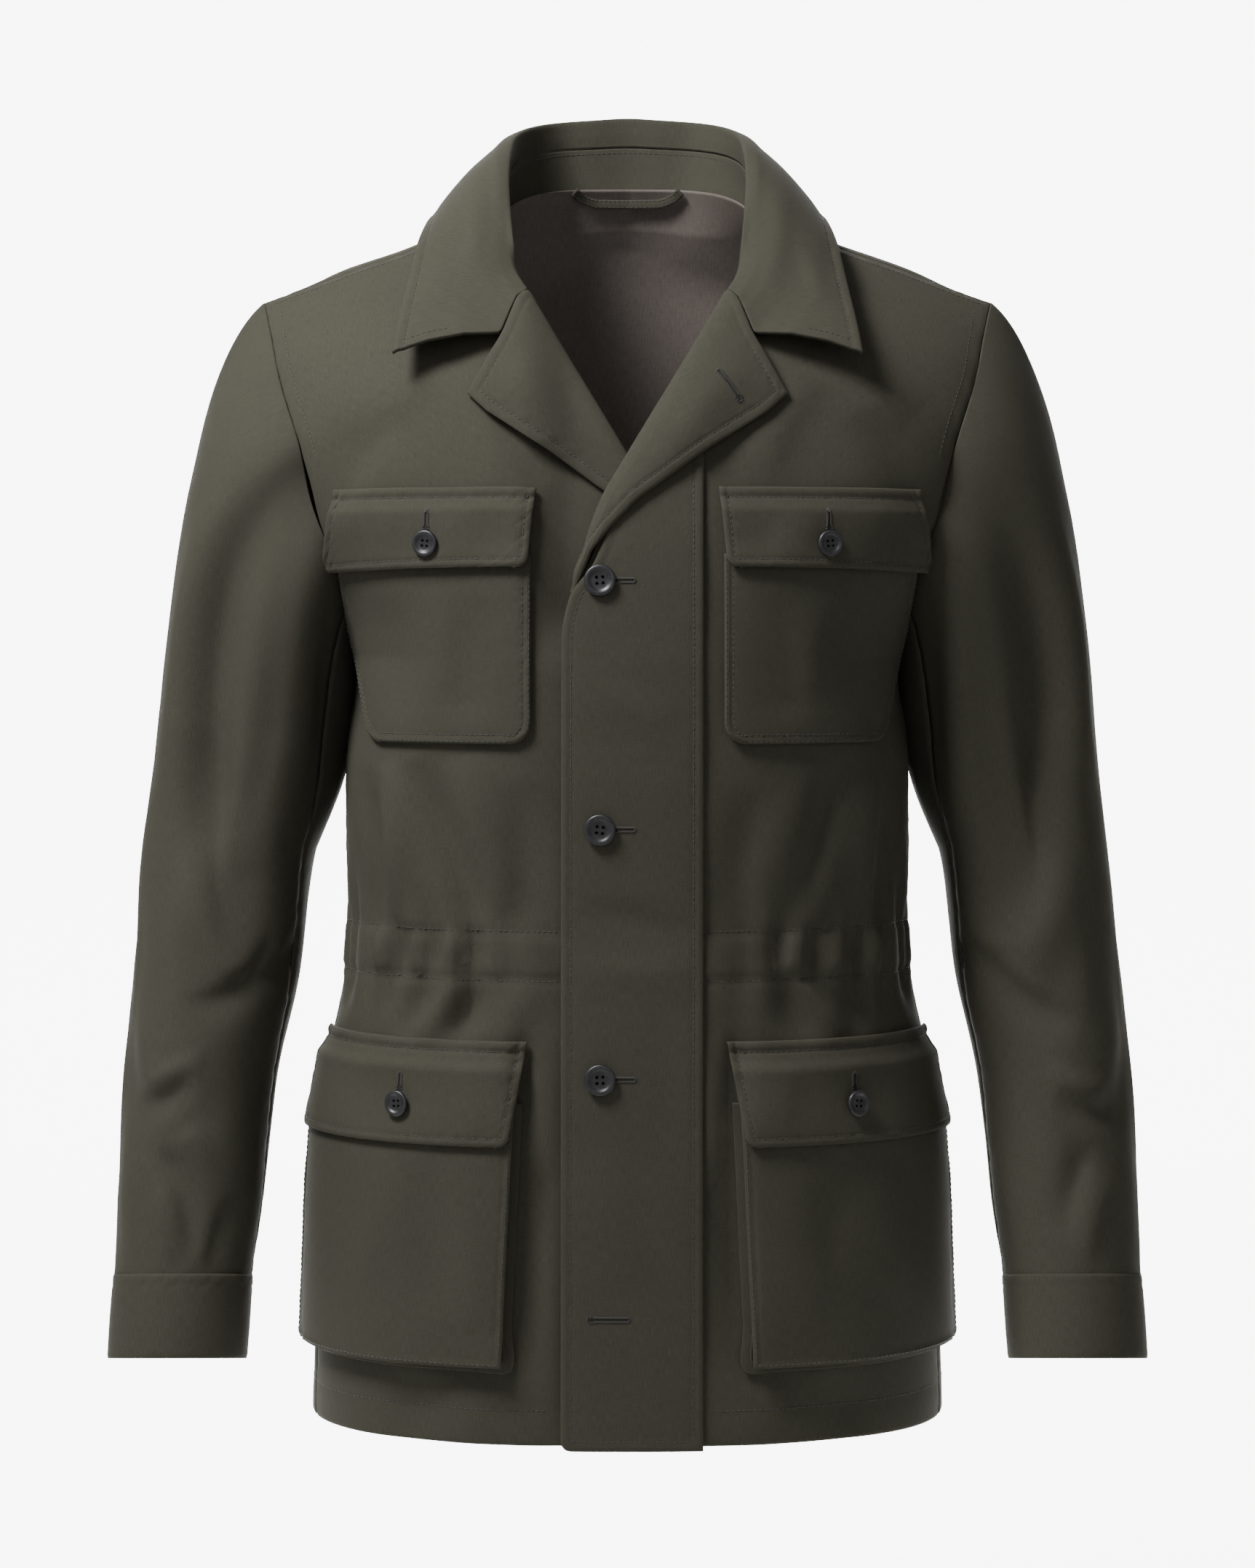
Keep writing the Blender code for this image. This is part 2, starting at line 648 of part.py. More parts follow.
# Stations along half the collar, from the centre back to the gorge: its roll and its free edge.
COLLAR = table(
    "roll_x  roll_y   roll_z   edge_x  edge_y   edge_z",
    (0.0000, 0.0860, 0.1240, 0.0000, 0.1160, 0.0560),
    (0.0430, 0.0790, 0.1205, 0.0560, 0.1120, 0.0550),
    (0.0640, 0.0540, 0.1140, 0.1000, 0.0900, 0.0530),
    (0.0740, 0.0200, 0.1010, 0.1230, 0.0360, 0.0560),
    (0.0755, -0.0100, 0.0790, 0.1290, -0.0120, 0.0440),
    (0.0730, -0.0400, 0.0450, 0.1360, -0.0580, 0.0050),
    (0.0685, -0.0600, 0.0200, 0.1405, -0.0820, -0.0200),
    (0.0600, -0.0775, 0.0060, 0.1430, -0.0960, -0.0370),
)
COLLAR_COLUMNS = 13
ROLL_HALF = 0.0042  # half the thickness of the fold
STAND_HEIGHT = 0.62  # of the way from the neck seam to the roll
GORGE_WAY = np.array([0.91, 0.0, 0.41])  # from the lapel to the collar across their seam
LEAF_BOW = 0.0060  # how far the leaf bows out between its roll and its edge
LEAF_STATIONS = (0.18, 0.38, 0.60, 0.80, 0.94, 1.0)  # shares of the way from the roll to the edge
SEAM_CLEAR = 0.0010  # the leaf's seam on the stand lies this far inside the line to the roll
STAND_END = 0.0078  # at its front ends the seam moves in and meets the neck line
NECK_CLEAR = 0.0005
LEAF_CLEAR = 0.0011  # the stand stops this far below the leaf's seam
# The collar's end at the gorge, behind and round the roll: how far past the front edge, how high.
GORGE_FOLD = ((0.0005, -0.0105), (-0.0015, -0.0080), (-0.0032, -0.0035))
POINT_BOW = 0.0040  # the leaf's lower edge, from the notch to the point, is a little hollow


def neck_line(count):
    """The neck seam from the centre back round to the front, which it meets at the gorge."""
    on_front = [front_at(distance_at(front_edge_x(z), z), z) for z in (0.030, 0.012, 0.002)]
    return spline([*NECKLINE, NECK_POINT, *on_front], count)


def collar_lines():
    names = [("roll_x", "roll_y", "roll_z"), ("edge_x", "edge_y", "edge_z")]
    stations = [np.stack([COLLAR[n] for n in group], axis=1) for group in names]
    shares = np.linspace(0, 1, COLLAR_COLUMNS)
    base = lengths(stations[0]) / lengths(stations[0])[-1]
    lines = [np.stack([curve(base, line[:, k], shares) for k in range(3)], axis=1) for line in stations]
    return neck_line(COLLAR_COLUMNS), lines[0], lines[1]


def outward(points):
    """Level directions away from the neck's axis."""
    way = points - [0, 0.012, 0]
    way[:, 2] = 0
    return way / np.linalg.norm(way, axis=1, keepdims=True)


def collar_grids():
    """The inside of the stand, and the leaf from the stand over the roll to its edge."""
    neck, roll, edge = collar_lines()
    out = outward(roll)
    seam = neck + (roll - neck) * STAND_HEIGHT - out * SEAM_CLEAR
    ending = fade(np.linspace(0, 1, COLLAR_COLUMNS), 0.76, 0.98)[:, None]
    seam = seam * (1 - ending) + (neck - out * STAND_END + [0, 0, 0.0020]) * ending
    stand = [neck + [0, 0, NECK_CLEAR], neck * 0.5 + seam * 0.5, seam - [0, 0, LEAF_CLEAR]]
    fall = edge - roll
    fall_way = fall / np.linalg.norm(fall, axis=1, keepdims=True)
    along = np.gradient(roll, axis=0)
    side_way = np.cross(fall_way, along)
    side_way /= np.linalg.norm(side_way, axis=1, keepdims=True)
    side_way *= np.sign((side_way * (out + [0, 0, 0.3])).sum(axis=1))[:, None]
    rows = [seam]
    rows.append(seam + (roll - seam) * 0.62 - out * 0.0012)
    rows.append(roll - fall_way * 0.0015)
    rows.append(roll + fall_way * 0.0030 + side_way * ROLL_HALF)
    for v in LEAF_STATIONS:
        bow = LEAF_BOW * math.sin(math.pi * min(v * 1.05, 1)) ** 0.8 + ROLL_HALF * (1 - v) * 0.6
        rows.append(roll + fall * v + side_way * bow)
    leaf = np.array(rows)
    # The front end follows the gorge from the roll to the notch, then the bottom edge to the point.
    lapel_top = lapel_grid()[0] + GORGE_WAY * GORGE_GAP
    notch, point = lapel_top[-1], leaf[-1, -1]
    z = LAPEL_ROLL_Z[0]
    path = [
        lifted(front_at, distance_at(front_edge_x(z) + tuck, z), z, lift) + GORGE_WAY * GORGE_GAP
        for tuck, lift in GORGE_FOLD
    ]
    path += [lapel_top[3], lapel_top[4], lapel_top[6], notch]
    for u in (0.33, 0.67, 1):
        path.append(notch + (point - notch) * u + [0, -0.001, POINT_BOW * math.sin(math.pi * u)])
    path = np.array(path)
    change = path - leaf[:, -1]
    share = np.linspace(0, 1, COLLAR_COLUMNS)
    weight = np.array([fade(share, 0.80, 1.0)] * 3 + [share**5] * (len(leaf) - 3))
    leaf += change[:, None, :] * weight[..., None]
    return np.array(stand), leaf


def whole(half):
    """A symmetric piece from the half that starts on the centre line."""
    return np.concatenate([half[:, :0:-1] * [-1, 1, 1], half], axis=1)


def build_collar(finish):
    stand, leaf = collar_grids()
    cloth("collar_stand", whole(stand[:, : COLLAR_COLUMNS - 3]), WALL, finish, facing_in=True)
    cloth("collar_leaf", whole(trimmed(leaf, last=SEAM)), DOUBLE, finish)


# ---------------------------------------------------------------- lining and hanger loop

LINING_INSET = 0.0045
LINING_START_ROW = len(ROWS_BELOW) + 1
LOOP = table(
    "x      z",
    (0.0000, 0.0690),
    (0.0190, 0.0690),
    (0.0240, 0.0700),
    (0.0300, 0.0725),
    (0.0340, 0.0760),
)
LOOP_WIDTH = 0.006
LOOP_OFF = 0.0036  # the strap stands off the lining


def lining_grid():
    """Half the lining, from the points of the back moved in, its top edge along the neck seam."""
    back = back_half_grid()
    corner = round(neck_share() * BACK_COLUMNS)
    part = whole(back)
    part = part - (-grid_normals(part, False)) * (WALL + LINING_INSET)
    part = part[LINING_START_ROW:, BACK_COLUMNS : BACK_COLUMNS + corner + 1]
    part[:, 0, 0] = 0
    neck = back[-1, : corner + 1]
    part[-1] = neck - outward(neck) * 0.0035 - [0, 0, 0.0007]
    part[-2] = part[-1] * 0.5 + part[-3] * 0.5 + outward(neck) * 0.0012
    return part


def lining_y(grid, x, z):
    at_x = [[np.interp(x, row[:, 0], row[:, k]) for k in (1, 2)] for row in grid]
    y, heights = np.array(at_x).T
    return float(np.interp(z, heights, y))


def build_lining(finish, loop_finish):
    grid = lining_grid()
    cloth("back_lining", whole(grid), 0.0010, finish, facing_in=True)
    half = [(x, lining_y(grid, x, z) - LOOP_OFF, z) for x, z in zip(LOOP["x"], LOOP["z"])]
    path = whole(np.array(half)[None])[0]
    way = np.gradient(path, axis=0)
    across = np.cross(way, [0, 1, 0])
    across /= np.linalg.norm(across, axis=1, keepdims=True)
    strap = np.array([path - across * LOOP_WIDTH / 2, path + across * LOOP_WIDTH / 2])
    cloth("hanger_loop", strap, 0.0012, loop_finish, facing_in=True)


# ---------------------------------------------------------------- lapels

# Outline of the wearer's left lapel as it lies on the front, from the gorge to the break.
LAPEL = table(
    "edge_x   edge_z   stand_off",
    (0.0742, -0.0285, 0.0060),
    (0.0848, -0.0460, 0.0060),
    (0.0960, -0.0645, 0.0060),
    (0.0840, -0.0755, 0.0065),
    (0.0467, -0.0990, 0.0075),
    (0.0060, -0.1280, 0.0065),
    (-0.0105, -0.1450, 0.0052),
    (-0.0215, -0.1590, 0.0044),
)
LAPEL_ROLL_Z = (0.0020, -0.016, -0.036, -0.058, -0.092, -0.122, -0.1415, -0.158)
LAPEL_COLUMNS = 14
LAPEL_STATIONS = (0.10, 0.32, 0.58, 0.82, 1.0)  # shares of the way from the roll to the free edge
GORGE_GAP = 0.0022
BEHIND = 0.0045  # the facing's layer behind the front, from the front's inner face
ROLL_TURN = ((-0.0032, -0.0035), (-0.0034, 0.0012))  # round the front's edge: how far in, how high
GORGE_DROP = 0.013  # at the top the layer behind lies below the collar's own end
LAPEL_CLEAR = 0.0042  # above the front, beside the roll
LAPEL_SPRING = 0.0040  # it bows up between the roll and its free edge
LAPEL_PRESSED = 0.0038  # where the other front lies over it


def lapel_grid(flat=False):
    """The facing of a left lapel: from behind the roll, round it and out to the free edge."""
    shares = np.linspace(0, 1, len(LAPEL_ROLL_Z))
    fine = np.linspace(0, 1, LAPEL_COLUMNS)
    roll_z = np.interp(fine, shares, LAPEL_ROLL_Z)
    edge_x, edge_z, off = (np.interp(fine, shares, LAPEL[n]) for n in ("edge_x", "edge_z", "stand_off"))
    grid = []
    for z, end_x, end_z, stand in zip(roll_z, edge_x, edge_z, off):
        x = front_edge_x(z)
        column = []
        inside = BEHIND + WALL + 0.0012 * flat
        drop = GORGE_DROP * (1 - fade(len(grid), 0, 2.5))
        for tuck, lift in ((0.009, -inside), (0.004, -inside), *ROLL_TURN):
            low = z - drop * (lift < -0.004) - drop * 0.3 * (-0.004 < lift < 0)
            tuck = min(tuck, abs(end_x - x) + 0.003)
            column.append(lifted(front_at, distance_at(front_edge_x(low), low) + tuck, low, lift))
        for v in LAPEL_STATIONS:
            px, pz = x + (end_x - x) * v, z + (end_z - z) * v
            spring = LAPEL_SPRING * math.sin(math.pi * v) * min(1, abs(end_x - x) / 0.05)
            lift = LAPEL_CLEAR + (stand - LAPEL_CLEAR) * v + spring
            if flat:
                lift = LAPEL_PRESSED + (lift - LAPEL_PRESSED) * fade(px, 0.020, 0.055)
            column.append(lifted(front_at, distance_at(px, pz), pz, lift))
        grid.append(column)
    return np.array(grid)


def build_lapels(finish):
    for side in SIDES:
        part = lapel_grid(flat=side == "right")
        if side == "right":
            part = underlapped(part)
        cloth(f"lapel_{side}", mirrored(part, side), DOUBLE, finish)


# ---------------------------------------------------------------- placket

PLACKET_RIGHT = 0.0455
PLACKET_ROWS = (
    -0.7005, -0.60, -0.50, -0.43, -0.37, -0.30, -0.235, -0.205, -0.188, -0.170, -0.155, -0.140, -0.115, -0.088
)


def build_placket(finish):
    """The strip on the wearer's left front; its left edge runs up beside the lapel's roll."""
    rows = []
    for z in PLACKET_ROWS:
        left = front_edge_x(z) + 0.0078 * fade(z, -0.186, -0.166) - 0.0018 * (1 - fade(z, -0.215, -0.185))
        row = []
        for u in (0.0, 0.25, 0.5, 0.75, 1.0):
            x = left + (PLACKET_RIGHT - left) * u
            row.append(lifted(front_at, distance_at(x, z), z, LIFT + DOUBLE))
        rows.append(row)
    cloth("placket", np.array(rows), DOUBLE, finish)


# ---------------------------------------------------------------- pockets and flaps

CHEST_POCKET_END_Z = -0.2740
CHEST_CORNER = 0.013
CHEST_LIFT = 0.0018  # clear of the panel where the chest curves most
CHEST_POCKET_ROWS = (
    CHEST_POCKET_END_Z, -0.2715, -0.266, -0.258, -0.240, -0.222, -0.207, -0.192, -0.177, -0.160
)
CHEST_FLAP = table("z     inner  outer", (-0.1680, 0.0590, 0.1830), (-0.1200, 0.0545, 0.1790))
CHEST_FLAP_ROWS = (-0.1680, -0.1655, -0.155, -0.140, -0.1275, -0.1260, -0.1200)
CHEST_FLAP_LIFT = 0.0068  # over the pocket; the flap comes down to the front at its seam
FLAP_CORNER = 0.006
LOWER_POCKET_TOP_Z = -0.474
LOWER_POCKET_END_Z = -0.650
LOWER_DEPTH = 0.0085  # how far the pocket's front stands off the body
LOWER_POCKET_ROWS = (LOWER_POCKET_END_Z, -0.6475, -0.610, -0.570, -0.530, -0.500, LOWER_POCKET_TOP_Z)
LOWER_FLAP_ROWS = (-0.5160, -0.5135, -0.500, -0.486, -0.4720, -0.4625, -0.4600, -0.4530)
LOWER_FLAP_CLEAR = 0.0034  # over the pocket
LOWER_FLAP_SEAM_LIFT = 0.0048
GUSSET_ROWS = (-0.490, -0.530, -0.580, -0.625)
# The gusset's folds: how far outside the pocket's edge, and how far off the body.
GUSSET_FOLDS = ((0.0035, LIFT + 0.0020), (-0.0060, LOWER_DEPTH * 0.50), (-0.0010, LOWER_DEPTH - 0.0022))
LOWER_FLAP = table("z     inner  outer", (-0.5160, 0.0700, 0.243), (-0.4530, 0.0600, 0.232))
LOWER_POCKET = table("z     inner  outer", (-0.6500, 0.0745, 0.252), (-0.4740, 0.0660, 0.236))


def patch(side, surface, corners, rows, columns, lift):
    """Points over the panels; corners gives (inner, outer) distances along the row for each height."""
    trees = [FRONT_TREES[side], FRONT_TREES["back"]]
    grid = []
    for z in rows:
        inner, outer = corners(z)
        grid.append([laid(trees, surface, inner + (outer - inner) * u, z, lift(z, u)) for u in columns])
    return mirrored(np.array(grid), side)


def chest_pocket_span(z):
    inner = distance_at(0.0575, z)
    outer = distance_at(0.158 + 0.017 * ((z - CHEST_POCKET_END_Z) / 0.100) ** 0.8, z)
    up = z - CHEST_POCKET_END_Z
    cut = CHEST_CORNER - math.sqrt(max(0, CHEST_CORNER**2 - max(0, CHEST_CORNER - up) ** 2))
    return inner + cut, outer - cut


def chest_flap_span(z):
    return tuple(distance_at(float(look_up(CHEST_FLAP, "z", z, n)), z) for n in ("inner", "outer"))


def flap_corner(z, end_z, radius):
    up = z - end_z
    return radius - math.sqrt(max(0, radius**2 - max(0, radius - up) ** 2))


def build_chest_pockets(finish):
    columns = np.linspace(0, 1, 12)
    pocket = (front_at, chest_pocket_span, CHEST_POCKET_ROWS, columns, lambda z, u: CHEST_LIFT + WALL)

    def span(z):
        inner, outer = chest_flap_span(z)
        cut = flap_corner(z, CHEST_FLAP_ROWS[0], FLAP_CORNER)
        return inner + cut, outer - cut / 2

    def lift(z, u):
        stand = CHEST_FLAP_LIFT - 0.0022 * fade(z, -0.135, -0.1275)
        return stand - 0.0010 * fade(z, -0.1278, -0.1258) + 0.0012 * fade(-z, 0.15, 0.168)

    flap = (front_at, span, CHEST_FLAP_ROWS, np.linspace(0, 1, 10), lift)
    for side in SIDES:
        cloth(f"chest_pocket_{side}", patch(side, *pocket), WALL, finish)
        cloth(f"chest_flap_{side}", patch(side, *flap), DOUBLE, finish)


def lower_span(rows):
    def span(z):
        inner, outer = (float(look_up(rows, "z", z, n)) for n in ("inner", "outer"))
        return inner, outer

    return span


def build_lower_pockets(finish):
    columns = np.linspace(0, 1, 12)

    def pocket_lift(z, u):
        return WALL + LOWER_DEPTH * (1 - 0.55 * fade(z, -0.52, LOWER_POCKET_TOP_Z))

    pocket = (torso_at, lower_span(LOWER_POCKET), LOWER_POCKET_ROWS, columns, pocket_lift)

    def flap_span(z):
        inner, outer = lower_span(LOWER_FLAP)(z)
        cut = flap_corner(z, LOWER_FLAP_ROWS[0], FLAP_CORNER)
        return inner + cut, outer - cut / 2

    def flap_lift(z, u):
        clear = pocket_lift(z, u) + LOWER_FLAP_CLEAR
        seam = fade(z, -0.472, -0.4625)
        return clear + (LOWER_FLAP_SEAM_LIFT - clear) * seam - 0.0014 * fade(z, -0.4626, -0.4598)

    flap = (torso_at, flap_span, LOWER_FLAP_ROWS, columns, flap_lift)
    for side in SIDES:
        cloth(f"lower_pocket_{side}", patch(side, *pocket), WALL, finish)
        cloth(f"lower_flap_{side}", patch(side, *flap), DOUBLE, finish)
        cloth(f"lower_gusset_{side}", mirrored(gusset_grid(side), side), 0.0010, finish)


def gusset_grid(side_name):
    """The bellows strip round a lower pocket: down its inner side, along its bottom and up its outer side."""
    span = lower_span(LOWER_POCKET)
    inner, outer = span(LOWER_POCKET_END_Z)
    path = [(span(z)[0], z, -1, 0) for z in GUSSET_ROWS]
    for u in np.linspace(0, 1, 11):
        path.append((inner + (outer - inner) * u, LOWER_POCKET_END_Z, int(u == 1) - int(u == 0), 1))
    path += [(span(z)[1], z, 1, 0) for z in reversed(GUSSET_ROWS)]
    grid = []
    trees = [FRONT_TREES[side_name], FRONT_TREES["back"]]
    for out, lift in GUSSET_FOLDS:
        row = []
        for along, z, side, down in path:
            near = lift * (1 - 0.55 * fade(z, -0.52, LOWER_POCKET_TOP_Z)) if lift > 0.003 else lift
            row.append(laid(trees, torso_at, along + side * out, z - down * out, near))
        grid.append(row)
    return np.array(grid)


# ---------------------------------------------------------------- buttons

FRONT_BUTTONS = [(-0.0164, -0.176), (-0.0164, -0.325), (-0.0164, -0.4755)]
CHEST_BUTTON = (0.1190, -0.1535)
LOWER_BUTTON_Z = -0.4925
LOWER_BUTTON_ALONG = 0.1380
FRONT_BUTTON_D = 0.0190
POCKET_BUTTON_D = 0.0160
FRONT_BUTTON_LIFT = LIFT + DOUBLE + 0.0006
CHEST_BUTTON_LIFT = 0.0072
LOWER_BUTTON_LIFT = 0.0116
# Half the section of a button: share of its radius, and height.
BUTTON_OUTLINE = ((0, 0.0017), (0.56, 0.0018), (0.72, 0.0031), (1.0, 0.0025), (1.0, 0.0008), (0.88, 0), (0, 0))
BUTTON_STEPS = 14
HOLE_PITCH, HOLE_RADIUS = 0.098, 0.048  # shares of the diameter


def build_button(name, diameter, seat, normal, finish):
    """A turned four-hole button: flat back, raised rim, dished face."""
    radius = diameter / 2
    mesh = bpy.data.meshes.new(name)
    shape = bmesh.new()
    points = [shape.verts.new((radius * r, 0, z)) for r, z in BUTTON_OUTLINE]
    for a, b in zip(points, points[1:]):
        shape.edges.new((a, b))
    bmesh.ops.spin(
        shape, geom=shape.verts[:] + shape.edges[:], cent=(0, 0, 0), axis=(0, 0, 1), angle=2 * math.pi,
        steps=BUTTON_STEPS, use_merge=True,
    )
    bmesh.ops.remove_doubles(shape, verts=shape.verts, dist=1e-5)
    bmesh.ops.recalc_face_normals(shape, faces=shape.faces)
    shape.to_mesh(mesh)
    shape.free()
    mesh.materials.append(finish)
    button = bpy.data.objects.new(name, mesh)
    JACKET.objects.link(button)
    turn = Vector(normal).to_track_quat("Z", "Y")
    button.matrix_world = Matrix.Translation(seat) @ turn.to_matrix().to_4x4()
    button_holes(button, diameter)
    return button


def button_holes(button, diameter):
    pitch, radius = diameter * HOLE_PITCH, diameter * HOLE_RADIUS
    for i in range(4):
        x, y = pitch * (1, -1, -1, 1)[i], pitch * (1, 1, -1, -1)[i]
        mesh = bpy.data.meshes.new(f"{button.name}_hole")
        shape = bmesh.new()
        bmesh.ops.create_cone(
            shape, cap_ends=True, segments=6, radius1=radius, radius2=radius, depth=0.008,
            matrix=Matrix.Translation((x, y, 0.001)),
        )
        shape.to_mesh(mesh)
        shape.free()
        cutter = bpy.data.objects.new(f"{button.name}_hole", mesh)
        CUTTERS.objects.link(cutter)
        cutter.matrix_world = button.matrix_world.copy()
        cutter.hide_render = True
        cutter.display_type = "WIRE"
        cut = button.modifiers.new("hole", "BOOLEAN")
        cut.object = cutter


def build_buttons(finish):
    for i, (x, z) in enumerate(FRONT_BUTTONS, 1):
        at = distance_at(x, z)
        seat = lifted(front_at, at, z, FRONT_BUTTON_LIFT)
        build_button(f"button_front_{i}", FRONT_BUTTON_D, seat, normal_at(front_at, at, z), finish)
    chest_at = distance_at(*CHEST_BUTTON)
    for side in SIDES:
        flip = np.array([SIDES[side], 1, 1])
        for name, surface, at, z, lift in (
            ("chest", front_at, chest_at, CHEST_BUTTON[1], CHEST_BUTTON_LIFT),
            ("lower", torso_at, LOWER_BUTTON_ALONG, LOWER_BUTTON_Z, LOWER_BUTTON_LIFT),
        ):
            normal = normal_at(surface, at, z)
            seat = lifted(surface, at, z, lift)
            build_button(f"button_{name}_{side}", POCKET_BUTTON_D, seat * flip, normal * flip, finish)


# ---------------------------------------------------------------- run


def main():
    global JACKET, CUTTERS
    for old in list(bpy.data.objects):
        bpy.data.objects.remove(old)
    JACKET = bpy.data.collections.new("field_jacket")
    bpy.context.scene.collection.children.link(JACKET)
    CUTTERS = bpy.data.collections.new("cutters")
    bpy.context.scene.collection.children.link(CUTTERS)
    shell = material("olive_wool_twill", (0.33, 0.33, 0.29), 0.85)
    lining = material("taupe_lining", (0.34, 0.31, 0.30), 0.6)
    horn = material("grey_button_resin", (0.25, 0.25, 0.26), 0.4)
    build_body(shell)
    build_sleeves(shell)
    build_collar(shell)
    build_lining(lining, shell)
    build_lapels(shell)
    build_placket(shell)
    build_chest_pockets(shell)
    build_lower_pockets(shell)
    build_buttons(horn)


main()
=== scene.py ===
"""A field jacket in its worn form: cloth, sewing and buttons made over its solid model.

Metres, +Z up. The front faces -Y and the wearer's left arm is at +X.
"""

import math
from functools import lru_cache

import bmesh
import bpy
import numpy as np
from mathutils import Matrix, Vector
from mathutils.bvhtree import BVHTree
from mathutils.kdtree import KDTree


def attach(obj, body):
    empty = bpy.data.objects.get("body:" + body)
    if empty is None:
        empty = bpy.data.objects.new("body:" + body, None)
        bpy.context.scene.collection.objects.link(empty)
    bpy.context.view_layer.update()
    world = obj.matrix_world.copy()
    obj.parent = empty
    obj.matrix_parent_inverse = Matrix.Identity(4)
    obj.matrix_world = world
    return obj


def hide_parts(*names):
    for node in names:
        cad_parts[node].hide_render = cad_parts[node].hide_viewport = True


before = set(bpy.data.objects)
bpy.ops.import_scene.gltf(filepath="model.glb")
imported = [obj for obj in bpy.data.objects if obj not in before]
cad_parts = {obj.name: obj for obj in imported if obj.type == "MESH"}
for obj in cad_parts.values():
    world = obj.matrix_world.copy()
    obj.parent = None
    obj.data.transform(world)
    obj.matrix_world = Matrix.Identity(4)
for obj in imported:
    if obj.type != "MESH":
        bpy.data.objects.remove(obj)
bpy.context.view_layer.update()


# ---------------------------------------------------------------- the shell cloth
# Olive grey wool and cotton in a plain weave, heathered: warp and weft are spun from light and
# dark fibres, so each thread changes shade along its length. It is matt, with a faint nap.

WARP_DARK = "#302e27"
WARP_MID = "#393830"
WARP_LIGHT = "#424038"
THREAD = 0.00045  # drawn coarser than the real 0.3 mm, which is too fine to show
SLUB_LENGTH = 0.0065
SHADE_PATCH, SHADE_CHANGE = 0.09, 0.03  # slow changes of shade from dyeing and pressing
WEFT_SHARE = 0.35  # how much of the shade comes from the weft


def linear(hex_colour):
    """An sRGB hex colour as linear RGBA."""
    parts = [int(hex_colour[i : i + 2], 16) / 255 for i in (1, 3, 5)]
    return (*[p / 12.92 if p <= 0.04045 else ((p + 0.055) / 1.055) ** 2.4 for p in parts], 1)


def connect(tree, node, inputs):
    """Sets a node's inputs; each is a value or another node's output."""
    for name, value in dict(inputs).items():
        if isinstance(value, bpy.types.NodeSocket):
            tree.links.new(value, node.inputs[name])
        else:
            node.inputs[name].default_value = value


def add(tree, kind, inputs=(), **settings):
    """Adds a node with its settings and links."""
    made = tree.nodes.new(kind)
    for name, value in settings.items():
        setattr(made, name, value)
    connect(tree, made, inputs)
    return made


def material(name):
    """A new material, with its node tree and its shader."""
    made = bpy.data.materials.new(name)
    made.use_nodes = True
    return made, made.node_tree, made.node_tree.nodes["Principled BSDF"]


def shades(ramp, *stops):
    """Sets a colour ramp's stops, given as (place, hex colour)."""
    while len(ramp.elements) < len(stops):
        ramp.elements.new(0.5)
    for element, (place, colour) in zip(ramp.elements, stops):
        element.position = place
        element.color = linear(colour)


def woven(name, dark, mid, light, thread, roughness, sheen, relief):
    """A plain weave drawn along the cloth's own grain: slubs of warp and weft, and their relief."""
    cloth, tree, shader = material(name)
    grain = add(tree, "ShaderNodeUVMap", uv_map="grain").outputs["UV"]

    def stretched(across, along):
        scale = (1 / across, 1 / along, 1)
        return add(tree, "ShaderNodeVectorMath", {0: grain, 1: scale}, operation="MULTIPLY").outputs[0]

    warp, weft = [
        add(tree, "ShaderNodeTexNoise", {"Vector": stretched(*size), "Scale": 1.0, "Detail": 3.0})
        for size in ((thread, SLUB_LENGTH), (SLUB_LENGTH, thread))
    ]
    half = add(tree, "ShaderNodeMix", {"Factor": WEFT_SHARE, "A": warp.outputs[0], "B": weft.outputs[0]})
    heather = add(tree, "ShaderNodeValToRGB", {"Fac": half.outputs[0]})
    shades(heather.color_ramp, (0.22, dark), (0.50, mid), (0.78, light))
    drift = stretched(SHADE_PATCH, SHADE_PATCH)
    patch = add(tree, "ShaderNodeTexNoise", {"Vector": drift, "Scale": 1.0, "Detail": 2.0})
    shade = add(tree, "ShaderNodeMapRange", {
        "Value": patch.outputs[0], "From Min": 0.3, "From Max": 0.7,
        "To Min": 1 - SHADE_CHANGE, "To Max": 1 + SHADE_CHANGE,
    })
    tone = add(
        tree, "ShaderNodeVectorMath", {0: heather.outputs[0], "Scale": shade.outputs[0]}, operation="SCALE"
    )
    # A wave texture repeats every 2 pi / 20 of its coordinate, so this gives one ridge a thread.
    step = thread * 20 / (2 * math.pi)
    ends, picks = [
        add(
            tree, "ShaderNodeTexWave", {"Vector": stretched(step, step), "Scale": 1.0, "Distortion": 0.6},
            bands_direction=direction,
        ).outputs["Fac"]
        for direction in "XY"
    ]
    crossing = add(tree, "ShaderNodeMath", {0: ends, 1: picks}, operation="MULTIPLY")
    raised = add(tree, "ShaderNodeMath", {0: crossing.outputs[0], 1: half.outputs[0]}, operation="ADD")
    bump = add(
        tree, "ShaderNodeBump", {"Height": raised.outputs[0], "Strength": relief, "Distance": 0.0003}
    )
    connect(tree, shader, {
        "Base Color": tone.outputs[0], "Normal": bump.outputs[0], "Roughness": roughness,
        "Specular IOR Level": 0.12, "Sheen Weight": sheen, "Sheen Roughness": 0.5,
        "Sheen Tint": linear("#8d8a7c"),
    })
    return cloth


wool_cotton_plain_weave = woven(
    "wool_cotton_plain_weave", WARP_DARK, WARP_MID, WARP_LIGHT, THREAD,
    roughness=0.86, sheen=0.02, relief=0.09,
)


# ---------------------------------------------------------------- the fronts
# Two shaped panels of shell cloth from hem to shoulder seam, the wearer's left one on top. The
# cloth is drawn in at the waist by a cord in a channel, and hangs in long soft folds elsewhere.

